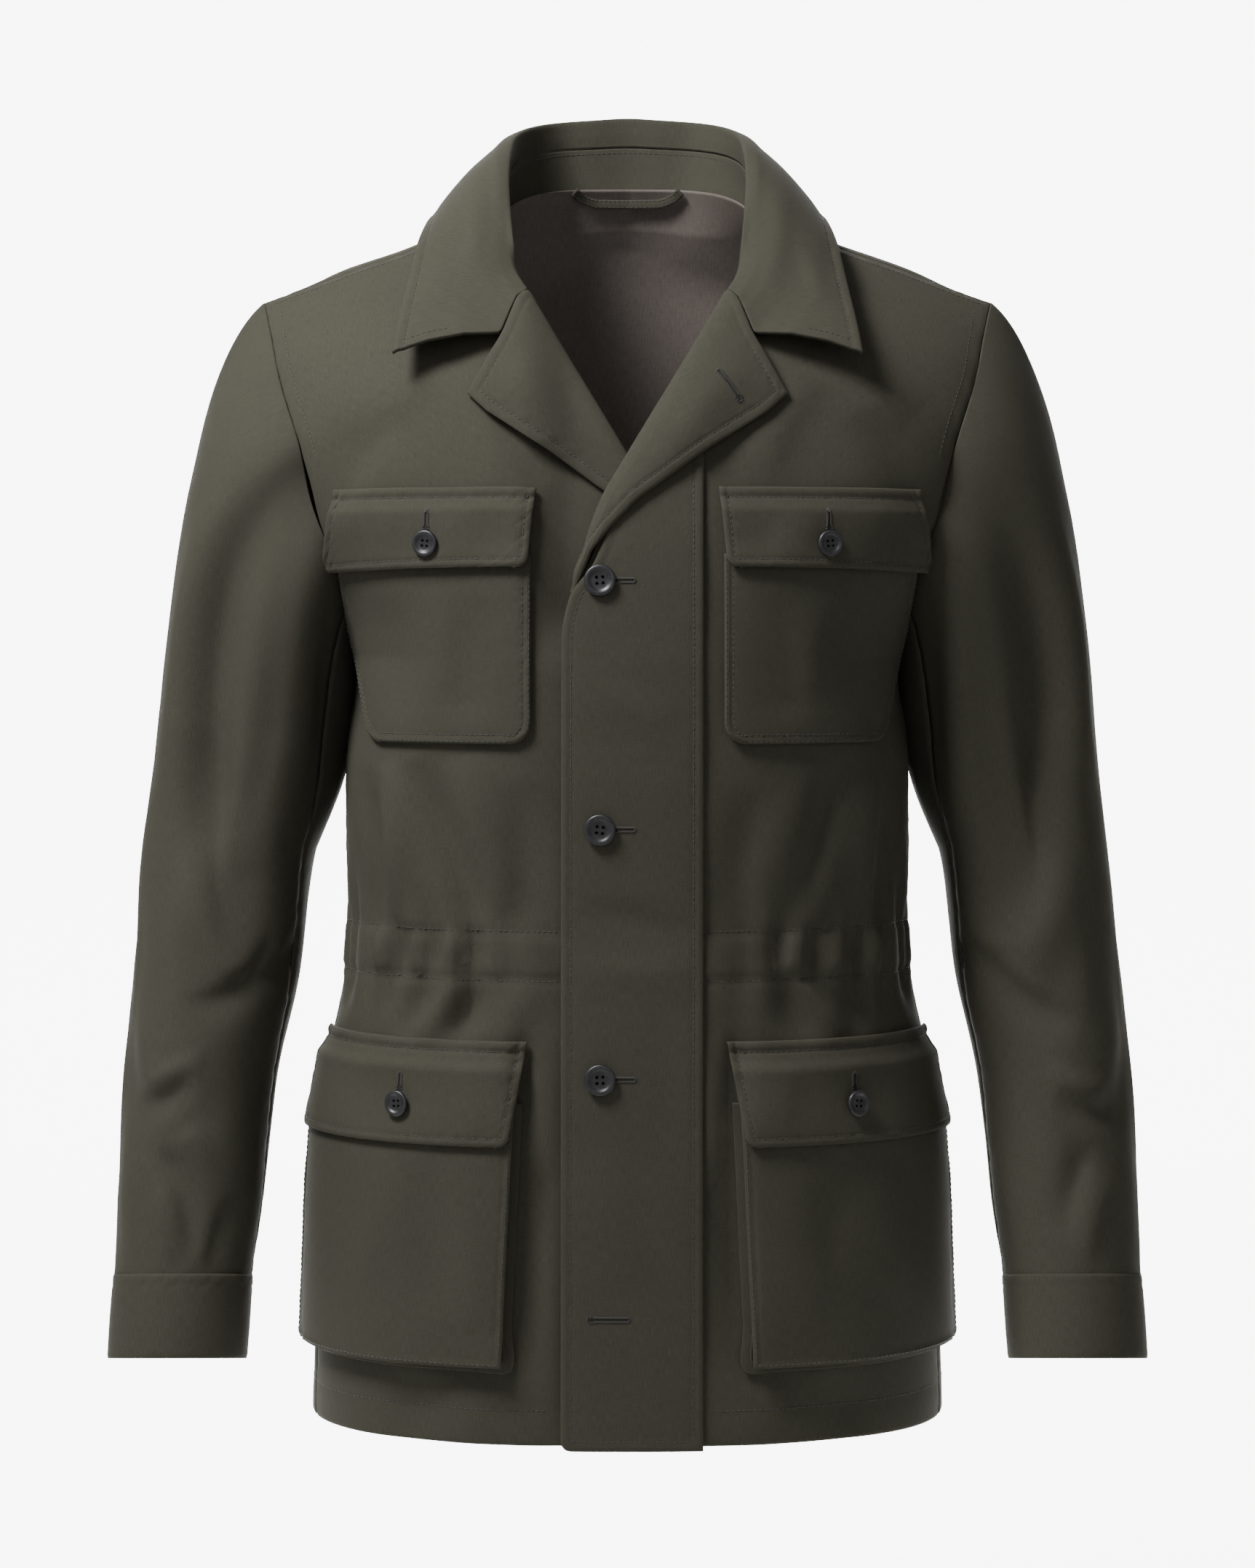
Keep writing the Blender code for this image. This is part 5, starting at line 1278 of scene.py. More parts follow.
def collar_grids():
    """The inside of the stand, and the leaf from the stand over the roll to its edge."""
    neck, roll, edge = collar_lines()
    out = outward(roll)
    seam = neck + (roll - neck) * STAND_HEIGHT - out * SEAM_CLEAR
    ending = fade(np.linspace(0, 1, COLLAR_COLUMNS), 0.76, 0.98)[:, None]
    seam = seam * (1 - ending) + (neck - out * STAND_END + [0, 0, 0.0020]) * ending
    stand = [neck + [0, 0, NECK_CLEAR], neck * 0.5 + seam * 0.5, seam - [0, 0, LEAF_CLEAR]]
    fall = edge - roll
    fall_way = unit(fall)
    side_way = unit(np.cross(fall_way, np.gradient(roll, axis=0)))
    side_way *= np.sign((side_way * (out + [0, 0, 0.3])).sum(axis=1))[:, None]
    rows = [seam]
    rows.append(seam + (roll - seam) * 0.62 - out * 0.0012)
    rows.append(roll - fall_way * 0.0015)
    rows.append(roll + fall_way * 0.0030 + side_way * ROLL_HALF)
    for v in LEAF_STATIONS:
        bow = LEAF_BOW * math.sin(math.pi * min(v * 1.05, 1)) ** 0.8 + ROLL_HALF * (1 - v) * 0.6
        rows.append(roll + fall * v + side_way * bow)
    leaf = np.array(rows)
    # The front end follows the gorge from the roll to the notch, then the bottom edge to the point.
    lapel_top = lapel_grid(flat=False)[0] + GORGE_WAY * GORGE_GAP
    notch, point = lapel_top[NOTCH], leaf[-1, -1]
    z = LAPEL["roll_z"][0]
    path = [
        lifted(front_at, distance_at(front_edge_x(z) + tuck, z), z, lift) + GORGE_WAY * GORGE_GAP
        for tuck, lift in GORGE_FOLD
    ]
    path += list(lapel_top[3 : NOTCH + 1])
    for u in (0.33, 0.67, 1):
        path.append(notch + (point - notch) * u + [0, -0.001, POINT_BOW * math.sin(math.pi * u)])
    path = np.array(path)
    change = path - leaf[:, -1]
    share = np.linspace(0, 1, COLLAR_COLUMNS)
    weight = np.array([fade(share, 0.80, 1.0)] * 3 + [share**5] * (len(leaf) - 3))
    leaf += change[:, None, :] * weight[..., None]
    return np.array(stand), leaf


stand_half, leaf_half = collar_grids()
# The stand's lower edge lies inside the neck seam.
stand_half[0] -= outward(stand_half[0]) * 0.0012 + [0, 0, 0.0040]
stand = refined(whole(stand_half[:, : COLLAR_COLUMNS - 3]), 14, 120)
sewn("collar_stand", stand, CLOTH, facing_in=True)
leaf_coarse = whole(leaf_half)
leaf_ends = np.abs(np.linspace(-1, 1, leaf_coarse.shape[1]))
leaf = refined(leaf_coarse, 72, 200, straight=fade(leaf_ends, 0.78, 0.94))
leaf_out = outward_normals(leaf)
leaf_shown = fade(edge_distances(leaf)["bottom"], 0.020, 0.040)[..., None]
LEAF_CREASES = creases(
    (75, 90, 125, -5, 4, 14, 2), (92, 60, 110, -20, -3, 10, -1.5), (-78, 85, -122, -10, -4, 14, 2),
    (-96, 55, -112, -22, 3, 11, -1.5),
)
leaf = creased(leaf, leaf_out * leaf_shown, LEAF_CREASES)
leaf = pressed(leaf, leaf_out, free=["top"], stitch=COLLAR_STITCH)
sewn("collar_leaf", leaf, DOUBLE)
fall = edge_distances(leaf)["bottom"][-1, 0]
leaf_lines = [
    line_inset(leaf, name, COLLAR_STITCH, start, COLLAR_STITCH)
    for name, start in (("top", COLLAR_STITCH), ("first", fall * 0.66), ("last", fall * 0.66))
]
stitched("collar_stitching", leaf_lines, facing_of(leaf))
stand_edge = line_inset(stand, "top", STAND_STITCH, 0.012, 0.012)
stitched("collar_stand_stitching", [stand_edge], facing_of(stand, facing_in=True))


# ---------------------------------------------------------------- the placket
# A strip of shell cloth down the edge of the upper front, folded at its outer edge and stitched
# down along both long sides; the buttonholes are cut through it.

PLACKET_RIGHT = 0.0455
PLACKET_STITCH = 0.0060
PLACKET_TOP_Z, PLACKET_END_Z = -0.088, -0.7005
PLACKET_CORNER = 0.006
PLACKET_IN, PLACKET_OUT = 0.0078, 0.0018  # in from the front's edge at the lapel's roll, out below it
THREE_SIDES = ("first", "last", "bottom")  # where a strip or pocket is turned in


def corner_cut(z, end_z, radius):
    """How far a rounded lower corner moves a side in."""
    return radius - math.sqrt(max(0.0, radius**2 - max(0.0, radius - (z - end_z)) ** 2))


def placket_grid(heights, columns):
    rows = []
    for z in heights:
        left = front_edge_x(z) + PLACKET_IN * fade(z, -0.186, -0.166)
        left -= PLACKET_OUT * (1 - fade(z, -0.215, -0.185))
        left += corner_cut(z, PLACKET_END_Z, PLACKET_CORNER)
        start, end = distance_at(left, z), distance_at(PLACKET_RIGHT, z)
        rows.append(lifted(front_at, start + (end - start) * columns, z, LIFT + DOUBLE))
    return np.array(rows)


placket_heights = [PLACKET_END_Z, -0.7000, -0.6990, -0.6970, -0.6945]
placket_heights = np.append(placket_heights, np.linspace(-0.691, PLACKET_TOP_Z, 180))
placket = placket_grid(placket_heights, closer_at_ends(30, 0.75))
placket_out = outward_normals(placket)
PLACKET_CREASES = creases(
    (-34, -230, 30, -262, 2, 12, 1.2), (-30, -370, 40, -392, -2, 10, -1.4),
    (-34, -405, 42, -412, 2, 10, 1.2), (-20, -520, 10, -600, 3, 16, 1.4), (20, -430, 30, -540, 2, 14, -1),
)
placket = creased(placket, placket_out, PLACKET_CREASES)
placket = pressed(placket, placket_out, free=THREE_SIDES, stitch=PLACKET_STITCH)
sewn("placket", placket, DOUBLE)
placket_lines = [
    line_inset(placket, name, PLACKET_STITCH, PLACKET_STITCH, stop)
    for name, stop in zip(THREE_SIDES, (0.100, 0.030, PLACKET_STITCH))
]
stitched("placket_stitching", placket_lines, facing_of(placket))


# ---------------------------------------------------------------- the chest pockets
# Patch pockets with rounded lower corners, stitched round twice, each under a flap of two layers
# that is set on with its own stitched ridge along the top.

CHEST_POCKET_END_Z, CHEST_POCKET_TOP_Z = -0.2740, -0.160
CHEST_CORNER = 0.013
CHEST_INNER_X, CHEST_OUTER_X = 0.0575, 0.158  # its sides at the bottom
CHEST_WIDENS = 0.017  # how much further out the outer side lies 0.1 m up
CHEST_LIFT = 0.0018  # clear of the panel where the chest curves most
SEAM_MARGIN = 0.0035  # its outer side stays this far inside the armhole's seam
CHEST_FLAP_END_Z, CHEST_FLAP_TOP_Z = -0.1680, -0.1200
CHEST_FLAP = table("z inner outer", (CHEST_FLAP_END_Z, 0.0590, 0.1830), (CHEST_FLAP_TOP_Z, 0.0545, 0.1790))
FLAP_CORNER = 0.006
POCKET_STITCH = 0.0045
POCKET_STITCH_ROWS = (0.0014, POCKET_STITCH + 0.0010)
FLAP_STITCH, FLAP_TOP_STITCH = 0.0048, 0.0066


def laid(side, surface, along, z, lift):
    """Points moved out from the panels under them."""
    trees = [PANEL_TREES[side], PANEL_TREES["back"]]
    points, normals = surface(along, z), normal_at(surface, along, z)
    for i in np.ndindex(points.shape[:-1]):
        start = Vector(points[i] + normals[i] * 0.030)
        hits = [tree.ray_cast(start, Vector(-normals[i]), 0.045) for tree in trees]
        hits = [hit for hit in hits if hit[0] is not None]
        if hits:
            points[i] = min(hits, key=lambda hit: hit[3])[0]
    return points + normals * lift


def patch(side, surface, sides, heights, columns, lift):
    """Points over the panels; sides gives where the piece starts and ends along the row at a height."""
    grid = []
    for z in map(float, heights):
        inner, outer = sides(z)
        grid.append(laid(side, surface, inner + (outer - inner) * closer_at_ends(columns), z, lift(z)))
    grid = np.array(grid)
    for _ in range(3):
        grid[1:-1, 1:-1] = (
            grid[1:-1, 1:-1] * 2 + grid[:-2, 1:-1] + grid[2:, 1:-1] + grid[1:-1, :-2] + grid[1:-1, 2:]
        ) / 6
    return grid


def rounded_rows(low, high, radius, count):
    """Heights from low to high, close together round the lower corners."""
    turn = np.linspace(0, math.pi / 2, 9)[:-1]
    return np.append(low + radius * (1 - np.cos(turn)), np.linspace(low + radius, high, count))


def turned_in(grid, folds):
    """A pocket's creased front, its sides and bottom turned in and pressed."""
    out = outward_normals(grid)
    grid = creased(grid, out, folds)
    return pressed(grid, out, free=THREE_SIDES, stitch=POCKET_STITCH, plump=0.0003)


def flap_sides(rows, to_along=lambda x, z: x):
    """Where a flap starts and ends along the row, with its lower corners rounded."""

    def sides(z):
        inner, outer = (to_along(float(x), z) for x in section(rows, z))
        cut = corner_cut(z, rows["z"][0], FLAP_CORNER)
        return inner + cut, outer - cut / 2

    return sides


def flap(node, side, surface, sides, ends, counts, lift, folds):
    """A flap of two layers, topstitched round its edge, with a stitched ridge where it is set on."""
    rows, columns = counts
    grid = patch(side, surface, sides, rounded_rows(*ends, FLAP_CORNER, rows), columns, lift)
    out = outward_normals(grid)
    grid = creased(grid, out, folds)
    grid = pressed(grid, out, free=THREE_SIDES, stitch=FLAP_STITCH)
    grid = pressed(grid, out, free=["top"], stitch=FLAP_TOP_STITCH, plump=0.0006)
    grid = grid * [SIDES[side], 1, 1]
    sewn(f"{node}_{side}", grid, DOUBLE)
    lines = [line_inset(grid, "top", FLAP_TOP_STITCH, 0.001, 0.001)]
    lines += [line_inset(grid, name, FLAP_STITCH, FLAP_STITCH, FLAP_STITCH) for name in THREE_SIDES]
    stitched(f"{node}_{side}_stitching", lines, facing_of(grid))
    return grid


def chest_pocket_sides(z):
    """Where the pocket starts and ends along the row, inside the armhole's seam."""
    cut = corner_cut(z, CHEST_POCKET_END_Z, CHEST_CORNER)
    outer_x = CHEST_OUTER_X + CHEST_WIDENS * ((z - CHEST_POCKET_END_Z) / 0.100) ** 0.8
    outer = min(distance_at(outer_x, z) - cut, lengths(front_row(z))[-1] - SEAM_MARGIN)
    return distance_at(CHEST_INNER_X, z) + cut, outer


def chest_flap_lift(z):
    """It stands off its pocket, lies close along the top and lifts a little at its free edge."""
    stand = 0.0068 - 0.0022 * fade(z, -0.135, -0.1275)
    return stand - 0.0010 * fade(z, -0.1278, -0.1258) + 0.0012 * fade(-z, 0.15, 0.168)


CHEST_POCKET_CREASES = creases(
    (120, -180, 108, -250, 4, 16, 2), (92, -185, 98, -262, -3, 13, -1.9),
    (150, -185, 138, -262, 3, 12, -1.5),
)
CHEST_FLAP_CREASES = creases(
    (112, -130, 104, -165, 1, 12, 1), (90, -132, 78, -165, 1, 12, -0.8), (146, -130, 152, -166, 1, 12, 0.8),
)
FLAP_GRIDS = {}
for side, way in SIDES.items():
    heights = rounded_rows(CHEST_POCKET_END_Z, CHEST_POCKET_TOP_Z, CHEST_CORNER, 52)
    grid = patch(side, front_at, chest_pocket_sides, heights, 60, lambda z: CHEST_LIFT + WALL)
    grid = turned_in(grid, CHEST_POCKET_CREASES) * [way, 1, 1]
    sewn(f"chest_pocket_{side}", grid, WALL)
    rounds = []
    for inset in POCKET_STITCH_ROWS:
        down = line_inset(grid, "first", inset, CHEST_CORNER, 0.001)[::-1]
        across = line_inset(grid, "bottom", inset, 0.004, 0.004)
        up = line_inset(grid, "last", inset, CHEST_CORNER, 0.001)
        rounds.append(np.concatenate([down, across, up]))
    stitched(f"chest_pocket_{side}_stitching", rounds, facing_of(grid))
    FLAP_GRIDS[f"chest_{side}"] = flap(
        "chest_flap", side, front_at, flap_sides(CHEST_FLAP, distance_at), CHEST_FLAP["z"], (42, 66),
        chest_flap_lift, CHEST_FLAP_CREASES,
    )


# ---------------------------------------------------------------- the lower pockets
# Bellows pockets: a flat front carried on a folded gusset strip, so that the pocket stands off the
# skirt, under a flap of two layers that is buttoned down.

LOWER_POCKET_TOP_Z = -0.474
LOWER_POCKET_END_Z = -0.650
LOWER_DEPTH = 0.0085  # how far the pocket's front stands off the body
LOWER_FLAP = table("z     inner  outer", (-0.5160, 0.0700, 0.243), (-0.4530, 0.0600, 0.232))
LOWER_POCKET = table("z     inner  outer", (-0.6500, 0.0745, 0.252), (-0.4740, 0.0660, 0.236))
FLAP_CLEAR = 0.0034  # the flap lies this far out from the pocket's front
FLAP_SEAM_LIFT = 0.0048
GUSSET_CLOTH = 0.0010
LOWER_STITCH = 0.0022


def lower_pocket_sides(z):
    return tuple(map(float, section(LOWER_POCKET, z)))


def bellows(z):
    """How open the pocket's bellows are at a height: less towards the top, where they are sewn shut."""
    return 1 - 0.55 * fade(z, -0.52, LOWER_POCKET_TOP_Z)


def lower_pocket_lift(z):
    return WALL + LOWER_DEPTH * bellows(z)


def lower_flap_lift(z):
    clear = lower_pocket_lift(z) + FLAP_CLEAR
    seam = (FLAP_SEAM_LIFT - clear) * fade(z, -0.472, -0.4625)
    return clear + seam - 0.0014 * fade(z, -0.4626, -0.4598)


GUSSET_ROWS = (-0.490, -0.530, -0.580, -0.625)
# The gusset's folds: how far outside the pocket's edge, and how far off the body.
GUSSET_FOLDS = ((0.0035, LIFT + 0.0020), (-0.0060, LOWER_DEPTH * 0.50), (-0.0010, LOWER_DEPTH - 0.0022))


def gusset_grid(side):
    """The bellows strip: down a lower pocket's inner side, along its bottom and up its outer side."""
    inner, outer = lower_pocket_sides(LOWER_POCKET_END_Z)
    path = [(lower_pocket_sides(z)[0], z, -1, 0) for z in GUSSET_ROWS]
    for u in np.linspace(0, 1, 11):
        path.append((inner + (outer - inner) * u, LOWER_POCKET_END_Z, int(u == 1) - int(u == 0), 1))
    path += [(lower_pocket_sides(z)[1], z, 1, 0) for z in reversed(GUSSET_ROWS)]
    grid = []
    for out, lift in GUSSET_FOLDS:
        row = []
        for along, z, sideways, down in path:
            near = lift * bellows(z) if lift > 0.003 else lift
            row.append(laid(side, torso_at, along + sideways * out, z - down * out, near))
        grid.append(row)
    return np.array(grid)


LOWER_POCKET_CREASES = {
    "right": creases(
        (105, -520, 90, -630, 5, 18, 2.4), (132, -525, 118, -620, 4, 14, -2.2),
        (150, -522, 164, -610, 3, 12, 2),
    ),
    "left": creases(
        (96, -522, 112, -636, -5, 18, 2.2), (140, -520, 122, -600, 4, 14, -2.4),
        (158, -530, 168, -620, 3, 12, 1.9),
    ),
}
LOWER_FLAP_CREASES = creases(
    (98, -466, 90, -512, 2, 14, 1.4), (150, -466, 160, -512, 2, 13, -1.4),
)
for side, way in SIDES.items():
    heights = rounded_rows(LOWER_POCKET_END_Z, LOWER_POCKET_TOP_Z, 0.003, 64)
    grid = patch(side, torso_at, lower_pocket_sides, heights, 70, lower_pocket_lift)
    grid = turned_in(grid, LOWER_POCKET_CREASES[side]) * [way, 1, 1]
    sewn(f"lower_pocket_{side}", grid, CLOTH)
    lines = [line_inset(grid, name, LOWER_STITCH, 0.002, 0.002) for name in THREE_SIDES]
    stitched(f"lower_pocket_{side}_stitching", lines, facing_of(grid))
    gusset = refined(gusset_grid(side), 16, 140) * [way, 1, 1]
    sewn(f"lower_gusset_{side}", gusset, GUSSET_CLOTH)
    FLAP_GRIDS[f"lower_{side}"] = flap(
        "lower_flap", side, torso_at, flap_sides(LOWER_FLAP), LOWER_FLAP["z"], (50, 76), lower_flap_lift,
        LOWER_FLAP_CREASES,
    )


# ---------------------------------------------------------------- the buttonholes
# Worked slots in the double edges: a near-black sheet of painted shadow where the slot opens, close
# buttonhole stitches all round it, and an eyelet at the end where the button's thread sits.

SLOT_HALF = 0.00040  # half the slit's width
SLOT_STITCH = 0.0016
SLOT_PITCH = 0.00045
EYELET = 0.0008

# Painted shadow of a buttonhole's slot and of the buttons' holes: nearly black and quite matt.
dark_thread_and_painted_shade, painted_shade_tree, painted_shade_shader = material("dark_thread_and_painted_shade")
connect(painted_shade_tree, painted_shade_shader, {"Base Color": linear("#14130f"), "Roughness": 0.95})


def buttonhole(name, grid, start, end):
    """A slot worked through a piece of cloth, from its eyelet to its other end."""
    facing, tree = facing_of(grid), surface_tree(grid)
    start, end = np.array(start, float), np.array(end, float)
    length = np.linalg.norm(end - start)
    way = (end - start) / length
    side = unit(np.cross(facing((start + end) / 2), way))
    t = np.arange(0, length, SLOT_PITCH)
    half = SLOT_HALF + EYELET * np.exp(-(((t - EYELET) / 0.0009) ** 2))
    turn = np.linspace(1.3, -1.3, 7)
    end_t, end_off = length + SLOT_HALF * np.cos(turn), SLOT_HALF * np.sin(turn)
    start_off = (SLOT_HALF + EYELET) * np.sin(turn)
    loop_t = np.concatenate([t, end_t, t[::-1], -SLOT_HALF - EYELET * np.cos(turn)])
    loop_off = np.concatenate([half, end_off, -half[::-1], -start_off])
    ahead = np.roll(loop_t, -1) - np.roll(loop_t, 1), np.roll(loop_off, -1) - np.roll(loop_off, 1)
    size = np.maximum(np.hypot(*ahead), 1e-9)

    def on_cloth(out, lift):
        points = []
        for along, off, a, b in zip(loop_t, loop_off, -ahead[1] / size, ahead[0] / size):
            guess = start + way * (along + a * out) + side * (off + b * out)
            near = np.array(tree.find_nearest(Vector(guess))[0])
            points.append(near + facing(near) * lift)
        return points

    outline = [list(range(len(loop_t)))]
    # The slot is a flat sheet of painted shadow lying just over the cloth, which is not cut under it.
    slit_shadow = in_scene(
        f"{name}_slit", meshed(f"{name}_slit", on_cloth(0, 0.00018), outline, dark_thread_and_painted_shade, smooth=False)
    )
    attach(slit_shadow, "root")
    ends = list(zip(on_cloth(0.0001, 0.0003), on_cloth(SLOT_STITCH, 0.0001)))
    spindles(f"{name}_stitching", ends, facing, SEWING_THREAD)


CHEST_BUTTON = (0.1190, -0.1535)
LOWER_BUTTON_Z = -0.4925
LOWER_BUTTON_ALONG = 0.1380
# The placket's slots: their height, and the x of their eyelet and of their other end.
PLACKET_SLOTS = (
    (-0.176, -0.0150, 0.0035), (-0.325, -0.0150, 0.0035),
    (-0.4755, -0.0150, 0.0035), (-0.6204, -0.0222, 0.0002),
)
LAPEL_SLOT = ((0.0665, -0.0668), (0.0548, -0.0512))
CHEST_SLOT = (-0.1450, -0.1365)
LOWER_SLOT = (-0.4845, -0.4750)
for i, (z, *slot_x) in enumerate(PLACKET_SLOTS, 1):
    buttonhole(f"placket_buttonhole_{i}", placket, *[front_point(x, z) for x in slot_x])
at = [front_point(x, z) - [0, 0.006, 0] for x, z in LAPEL_SLOT]
buttonhole("lapel_buttonhole", LAPEL_GRIDS["left"], *at)
for side, way in SIDES.items():
    at = [front_point(CHEST_BUTTON[0], z) * [way, 1, 1] for z in CHEST_SLOT]
    buttonhole(f"chest_flap_{side}_buttonhole", FLAP_GRIDS[f"chest_{side}"], *at)
    at = [torso_at(LOWER_BUTTON_ALONG, z) * [way, 1, 1] for z in LOWER_SLOT]
    buttonhole(f"lower_flap_{side}_buttonhole", FLAP_GRIDS[f"lower_{side}"], *at)


# ---------------------------------------------------------------- the buttons
# Four-hole buttons turned from cast polyester resin, marbled in greys, with a raised rim and a
# dished face. Two bars of thread hold each one through its holes.

FRONT_BUTTON_D = 0.0190
POCKET_BUTTON_D = 0.0160
BUTTON_HOLES = ((1, 1), (-1, 1), (-1, -1), (1, -1))
HOLE_PITCH, HOLE_RADIUS = 0.098, 0.052  # shares of the diameter
THREAD_RADIUS, THREAD_SPREAD = 0.00024, 0.00028  # three threads fill each hole
# Half the button's section as shares of its radius, and heights in metres.
BUTTON_SECTION = [
    (0.0, 0.00165), (0.20, 0.00168), (0.40, 0.00175), (0.55, 0.00190), (0.62, 0.00215), (0.68, 0.00258),
    (0.74, 0.00290), (0.82, 0.00306), (0.90, 0.00300), (0.96, 0.00272), (0.99, 0.00225), (1.0, 0.00160),
    (0.985, 0.00100), (0.93, 0.00045), (0.86, 0.00010), (0.80, 0.0), (0.0, 0.0),
]

# Cast resin is hard and half polished, with slow swirls of grey under its surface.
marbled_polyester_resin, resin_tree, resin_shader = material("marbled_polyester_resin")
place = add(resin_tree, "ShaderNodeTexCoord").outputs["Object"]
swirl = add(
    resin_tree, "ShaderNodeTexNoise", {"Vector": place, "Scale": 220.0, "Detail": 3.0, "Distortion": 1.6}
)
marble = add(resin_tree, "ShaderNodeValToRGB", {"Fac": swirl.outputs[0]})
shades(marble.color_ramp, (0.35, "#151517"), (0.55, "#1c1c1f"), (0.74, "#27272b"))
connect(resin_tree, resin_shader, {"Base Color": marble.outputs[0], "Roughness": 0.42})


def turned(section, steps, merge):
    """A form turned about the upright axis from half its section."""
    form = bmesh.new()
    points = [form.verts.new((x, 0, z)) for x, z in section]
    for pair in zip(points, points[1:]):
        form.edges.new(pair)
    bmesh.ops.spin(
        form, geom=form.verts[:] + form.edges[:], cent=(0, 0, 0), axis=(0, 0, 1), angle=2 * math.pi,
        steps=steps, use_merge=True,
    )
    bmesh.ops.remove_doubles(form, verts=form.verts, dist=merge)
    bmesh.ops.recalc_face_normals(form, faces=form.faces)
    return form


def turned_button(diameter):
    """The mesh of one button, its holes drilled through."""
    body, drill = turned([(diameter / 2 * r, z) for r, z in BUTTON_SECTION], 56, 1e-6), bmesh.new()
    for x, y in BUTTON_HOLES:
        at = (diameter * HOLE_PITCH * x, diameter * HOLE_PITCH * y, 0.001)
        bmesh.ops.create_cone(
            drill, cap_ends=True, segments=20, radius1=diameter * HOLE_RADIUS, radius2=diameter * HOLE_RADIUS,
            depth=0.008, matrix=Matrix.Translation(at),
        )
    pair = []
    for label, shape in (("turned_button", body), ("button_drill", drill)):
        mesh = bpy.data.meshes.new(label)
        shape.to_mesh(mesh)
        shape.free()
        pair.append(in_scene(label, mesh))
    drilled = pair[0].modifiers.new("holes", "BOOLEAN")
    drilled.object = pair[1]
    ready = pair[0].evaluated_get(bpy.context.evaluated_depsgraph_get())
    mesh = bpy.data.meshes.new_from_object(ready)
    for scrap in pair:
        bpy.data.objects.remove(scrap)
    mesh.materials.clear()
    mesh.materials.append(marbled_polyester_resin)
    mesh.shade_smooth()
    mesh.set_sharp_from_angle(angle=math.radians(40))
    return mesh


def tube(line, radius, sides=6):
    """Points and faces of a thread along a line."""
    line = np.array(line)
    way = unit(np.gradient(line, axis=0))
    side = unit(np.cross(way, [0.92, 0.22, 0.31]))
    up = np.cross(side, way)
    turns = np.linspace(0, 2 * math.pi, sides, endpoint=False)
    points = [line + radius * (side * math.cos(a) + up * math.sin(a)) for a in turns]
    faces = []
    for r in range(len(line) - 1):
        for k in range(sides):
            here, after = r * sides + k, r * sides + (k + 1) % sides
            faces.append((here, after, after + sides, here + sides))
    return np.stack(points, axis=1).reshape(-1, 3), faces


def button_thread(diameter):
    """The mesh of the thread that fills one button's holes, sunk below its face: dark, with painted shade."""
    points, faces = [], []
    reach = diameter * HOLE_PITCH
    for x, y in BUTTON_HOLES:
        for turn in (0.4, 2.5, 4.6):
            aside = np.array([math.cos(turn), math.sin(turn), 0]) * THREAD_SPREAD
            at = np.array([reach * x, reach * y, 0]) + aside
            more_points, more_faces = tube([at + [0, 0, z] for z in (0.0002, 0.0006, 0.0010)], THREAD_RADIUS)
            faces += [tuple(i + len(points) for i in face) for face in more_faces]
            points += more_points.tolist()
    return meshed("button_thread", points, faces, dark_thread_and_painted_shade)


BUTTON_MESHES = {d: (turned_button(d), button_thread(d)) for d in (FRONT_BUTTON_D, POCKET_BUTTON_D)}


def sewn_button(node, diameter, seat, normal, twist, way=1):
    """A button and its thread in the place of its solid; way turns it to the other side."""
    seat, normal = seat * [way, 1, 1], normal * [way, 1, 1]
    turn = Vector(normal).to_track_quat("Z", "Y").to_matrix().to_4x4()
    for label, mesh in zip(("resin", "thread"), BUTTON_MESHES[diameter]):
        made = in_scene(f"{node}_{label}", mesh)
        made.matrix_world = Matrix.Translation(seat) @ turn @ Matrix.Rotation(math.radians(twist), 4, "Z")
        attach(made, "root")
        if label == "resin":
            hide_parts(node)


FRONT_BUTTON_X = -0.0164
FRONT_SEAT = LIFT + DOUBLE + 0.0006  # how far out each button's back lies
CHEST_SEAT, LOWER_SEAT = 0.0072, 0.0116
for i, (z, twist) in enumerate(((-0.176, 4), (-0.325, -7), (-0.4755, 2)), 1):
    at = distance_at(FRONT_BUTTON_X, z)
    seat = lifted(front_at, at, z, FRONT_SEAT)
    sewn_button(f"button_front_{i}", FRONT_BUTTON_D, seat, normal_at(front_at, at, z), twist)
for side, way in SIDES.items():
    for name, surface, at, z, out, twist in (
        ("chest", front_at, distance_at(*CHEST_BUTTON), CHEST_BUTTON[1], CHEST_SEAT, 6),
        ("lower", torso_at, LOWER_BUTTON_ALONG, LOWER_BUTTON_Z, LOWER_SEAT, -5),
    ):
        seat, normal = lifted(surface, at, z, out), normal_at(surface, at, z)
        sewn_button(f"button_{name}_{side}", POCKET_BUTTON_D, seat, normal, twist * way, way)


# ---------------------------------------------------------------- the studio
# A plain pale sweep of backlit diffusion cloth: brightest behind the jacket and dimmer all round,
# so that the ground is even and the folds still read. A soft key light stands at the upper left.

GLOW_DIM, GLOW_BRIGHT = 0.09, 7.5
backlit_diffusion_cloth, glow_tree, glow_shader = material("backlit_diffusion_cloth")
spot = add(glow_tree, "ShaderNodeSeparateXYZ", {0: add(glow_tree, "ShaderNodeTexCoord").outputs["Object"]})
aside = add(glow_tree, "ShaderNodeMath", {0: spot.outputs["X"]}, operation="ABSOLUTE")
wedge = add(
    glow_tree, "ShaderNodeMath", {0: aside.outputs[0], 1: -2.6, 2: spot.outputs["Y"]},
    operation="MULTIPLY_ADD",
)
within, behind = [
    add(
        glow_tree, "ShaderNodeMapRange",
        {"Value": value, "From Min": low, "From Max": high, "To Min": 0.0, "To Max": 1.0},
        interpolation_type="SMOOTHSTEP",
    ).outputs[0]
    for value, low, high in ((wedge.outputs[0], -2.6, -0.9), (spot.outputs["Y"], -0.5, 0.6))
]
both = add(glow_tree, "ShaderNodeMath", {0: within, 1: behind}, operation="MULTIPLY")
glow = add(
    glow_tree, "ShaderNodeMapRange",
    {"Value": both.outputs[0], "From Min": 0.0, "From Max": 1.0, "To Min": GLOW_DIM, "To Max": GLOW_BRIGHT},
)
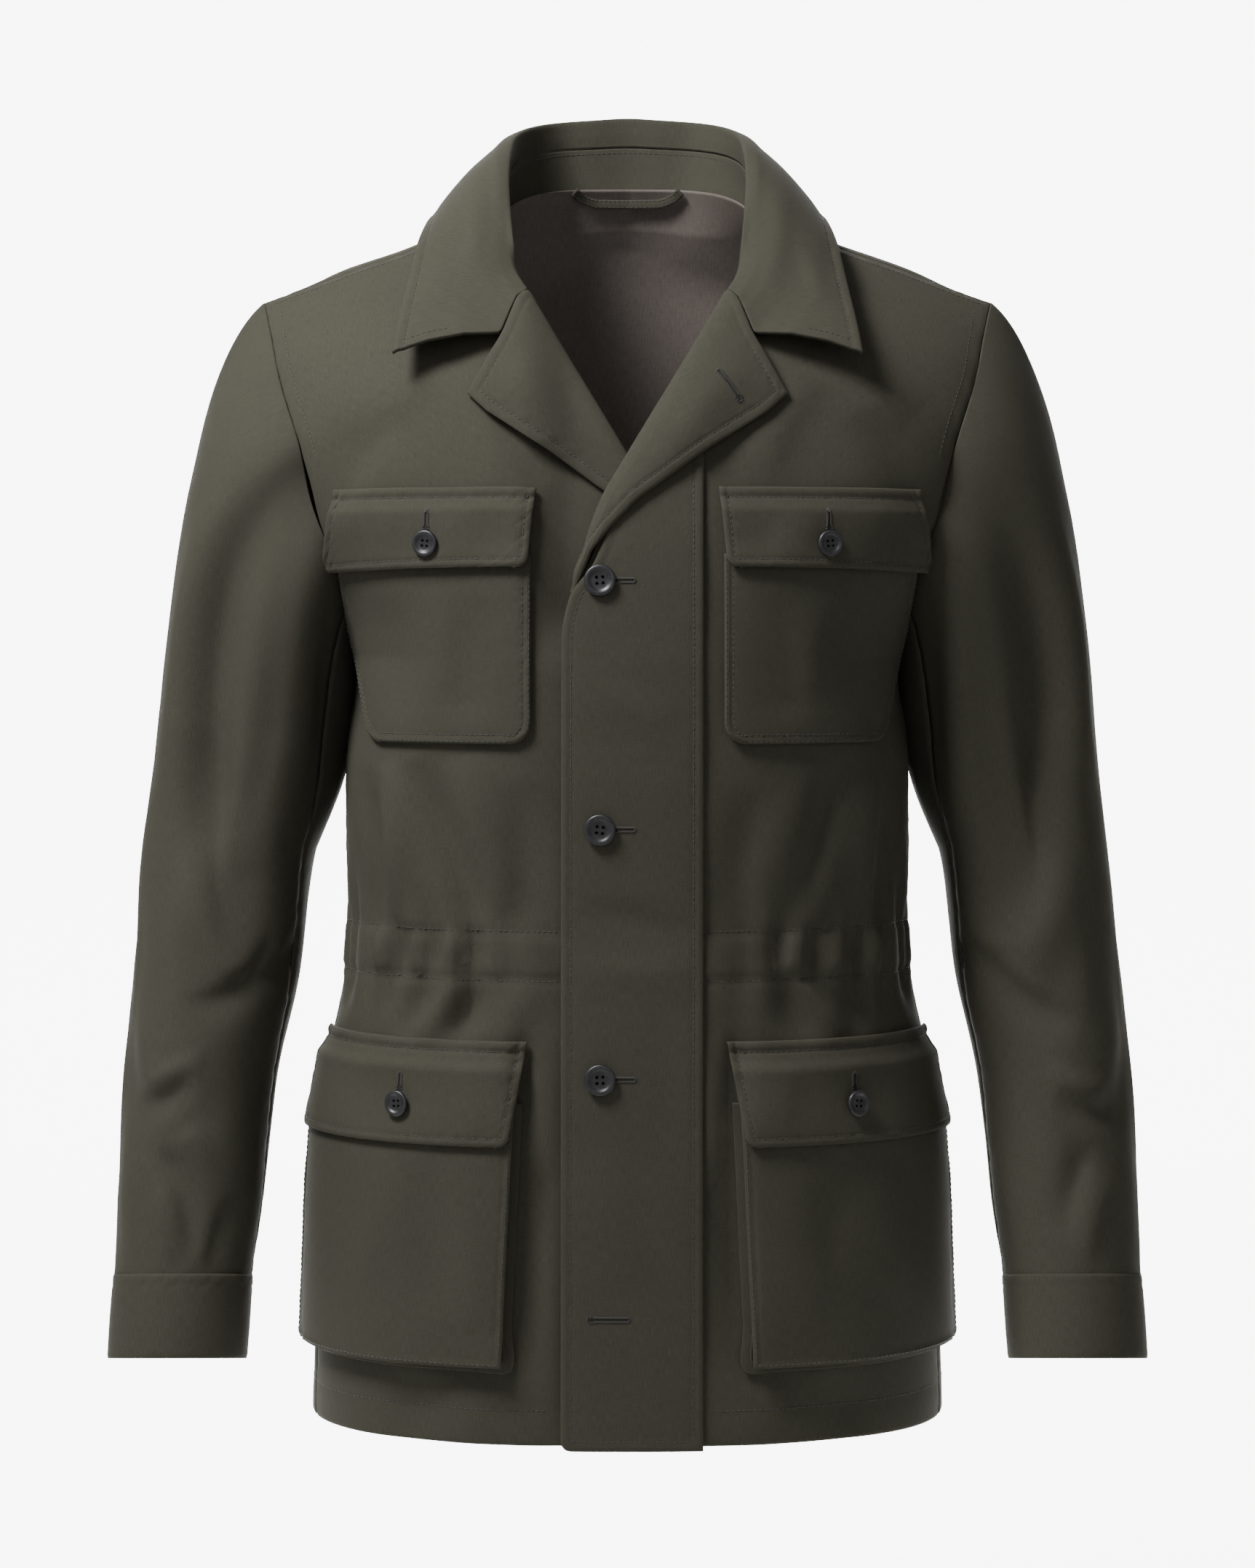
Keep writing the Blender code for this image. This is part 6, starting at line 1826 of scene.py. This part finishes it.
connect(glow_tree, glow_shader, {
    "Base Color": linear("#9a9a98"), "Roughness": 0.95, "Emission Color": linear("#ffffff"),
    "Emission Strength": glow.outputs[0],
})
# The sweep's floor, its curve up to the wall and its top: distance from the middle, and height.
SWEEP = (
    (0.0, -0.95), (3.2, -0.95), (4.2, -0.86), (5.0, -0.55), (5.5, 0.1), (5.7, 1.2), (5.8, 3.2), (5.2, 4.4),
)
sweep = turned(SWEEP, 64, 1e-5)
sweep_mesh = bpy.data.meshes.new("studio_sweep")
sweep.to_mesh(sweep_mesh)
sweep.free()
sweep_mesh.materials.append(backlit_diffusion_cloth)
sweep_mesh.shade_smooth()
in_scene("studio_sweep", sweep_mesh)

AIR_GLOW = 0.07
world = bpy.data.worlds.new("studio_air")
world.use_nodes = True
air = world.node_tree.nodes["Background"]
connect(world.node_tree, air, {"Color": linear("#f3f3f2"), "Strength": AIR_GLOW})
bpy.context.scene.world = world

# Where each light stands and aims, its size in metres and its power in watts.
for name, place, aim, size, power in (
    ("key", (-1.05, -0.85, 1.45), (0, 0, 0.00), 0.7, 102),
    ("fill", (0.4, -3.2, 0.9), (0, 0, -0.15), 1.6, 5),
    ("rim", (1.2, 2.4, 1.9), (0, 0, -0.25), 1.4, 16),
):
    lamp = bpy.data.lights.new(f"{name}_softbox", "AREA")
    lamp.shape = "SQUARE"
    lamp.size = size
    lamp.energy = power
    softbox = in_scene(f"{name}_softbox", lamp)
    softbox.location = place
    softbox.rotation_euler = (Vector(aim) - Vector(place)).to_track_quat("-Z", "Y").to_euler()

TARGET = Vector((0, 0, -0.3038))
DISTANCE = 2.503
TILT = math.radians(2.6)  # the camera looks down a little
lens = bpy.data.cameras.new("studio_camera")
lens.lens = 90.7
lens.sensor_fit = "VERTICAL"
lens.sensor_height = 36
camera = in_scene("studio_camera", lens)
camera.location = TARGET + Vector((0, -math.cos(TILT), math.sin(TILT))) * DISTANCE
camera.rotation_euler = (math.pi / 2 - TILT, 0, 0)
bpy.context.scene.camera = camera
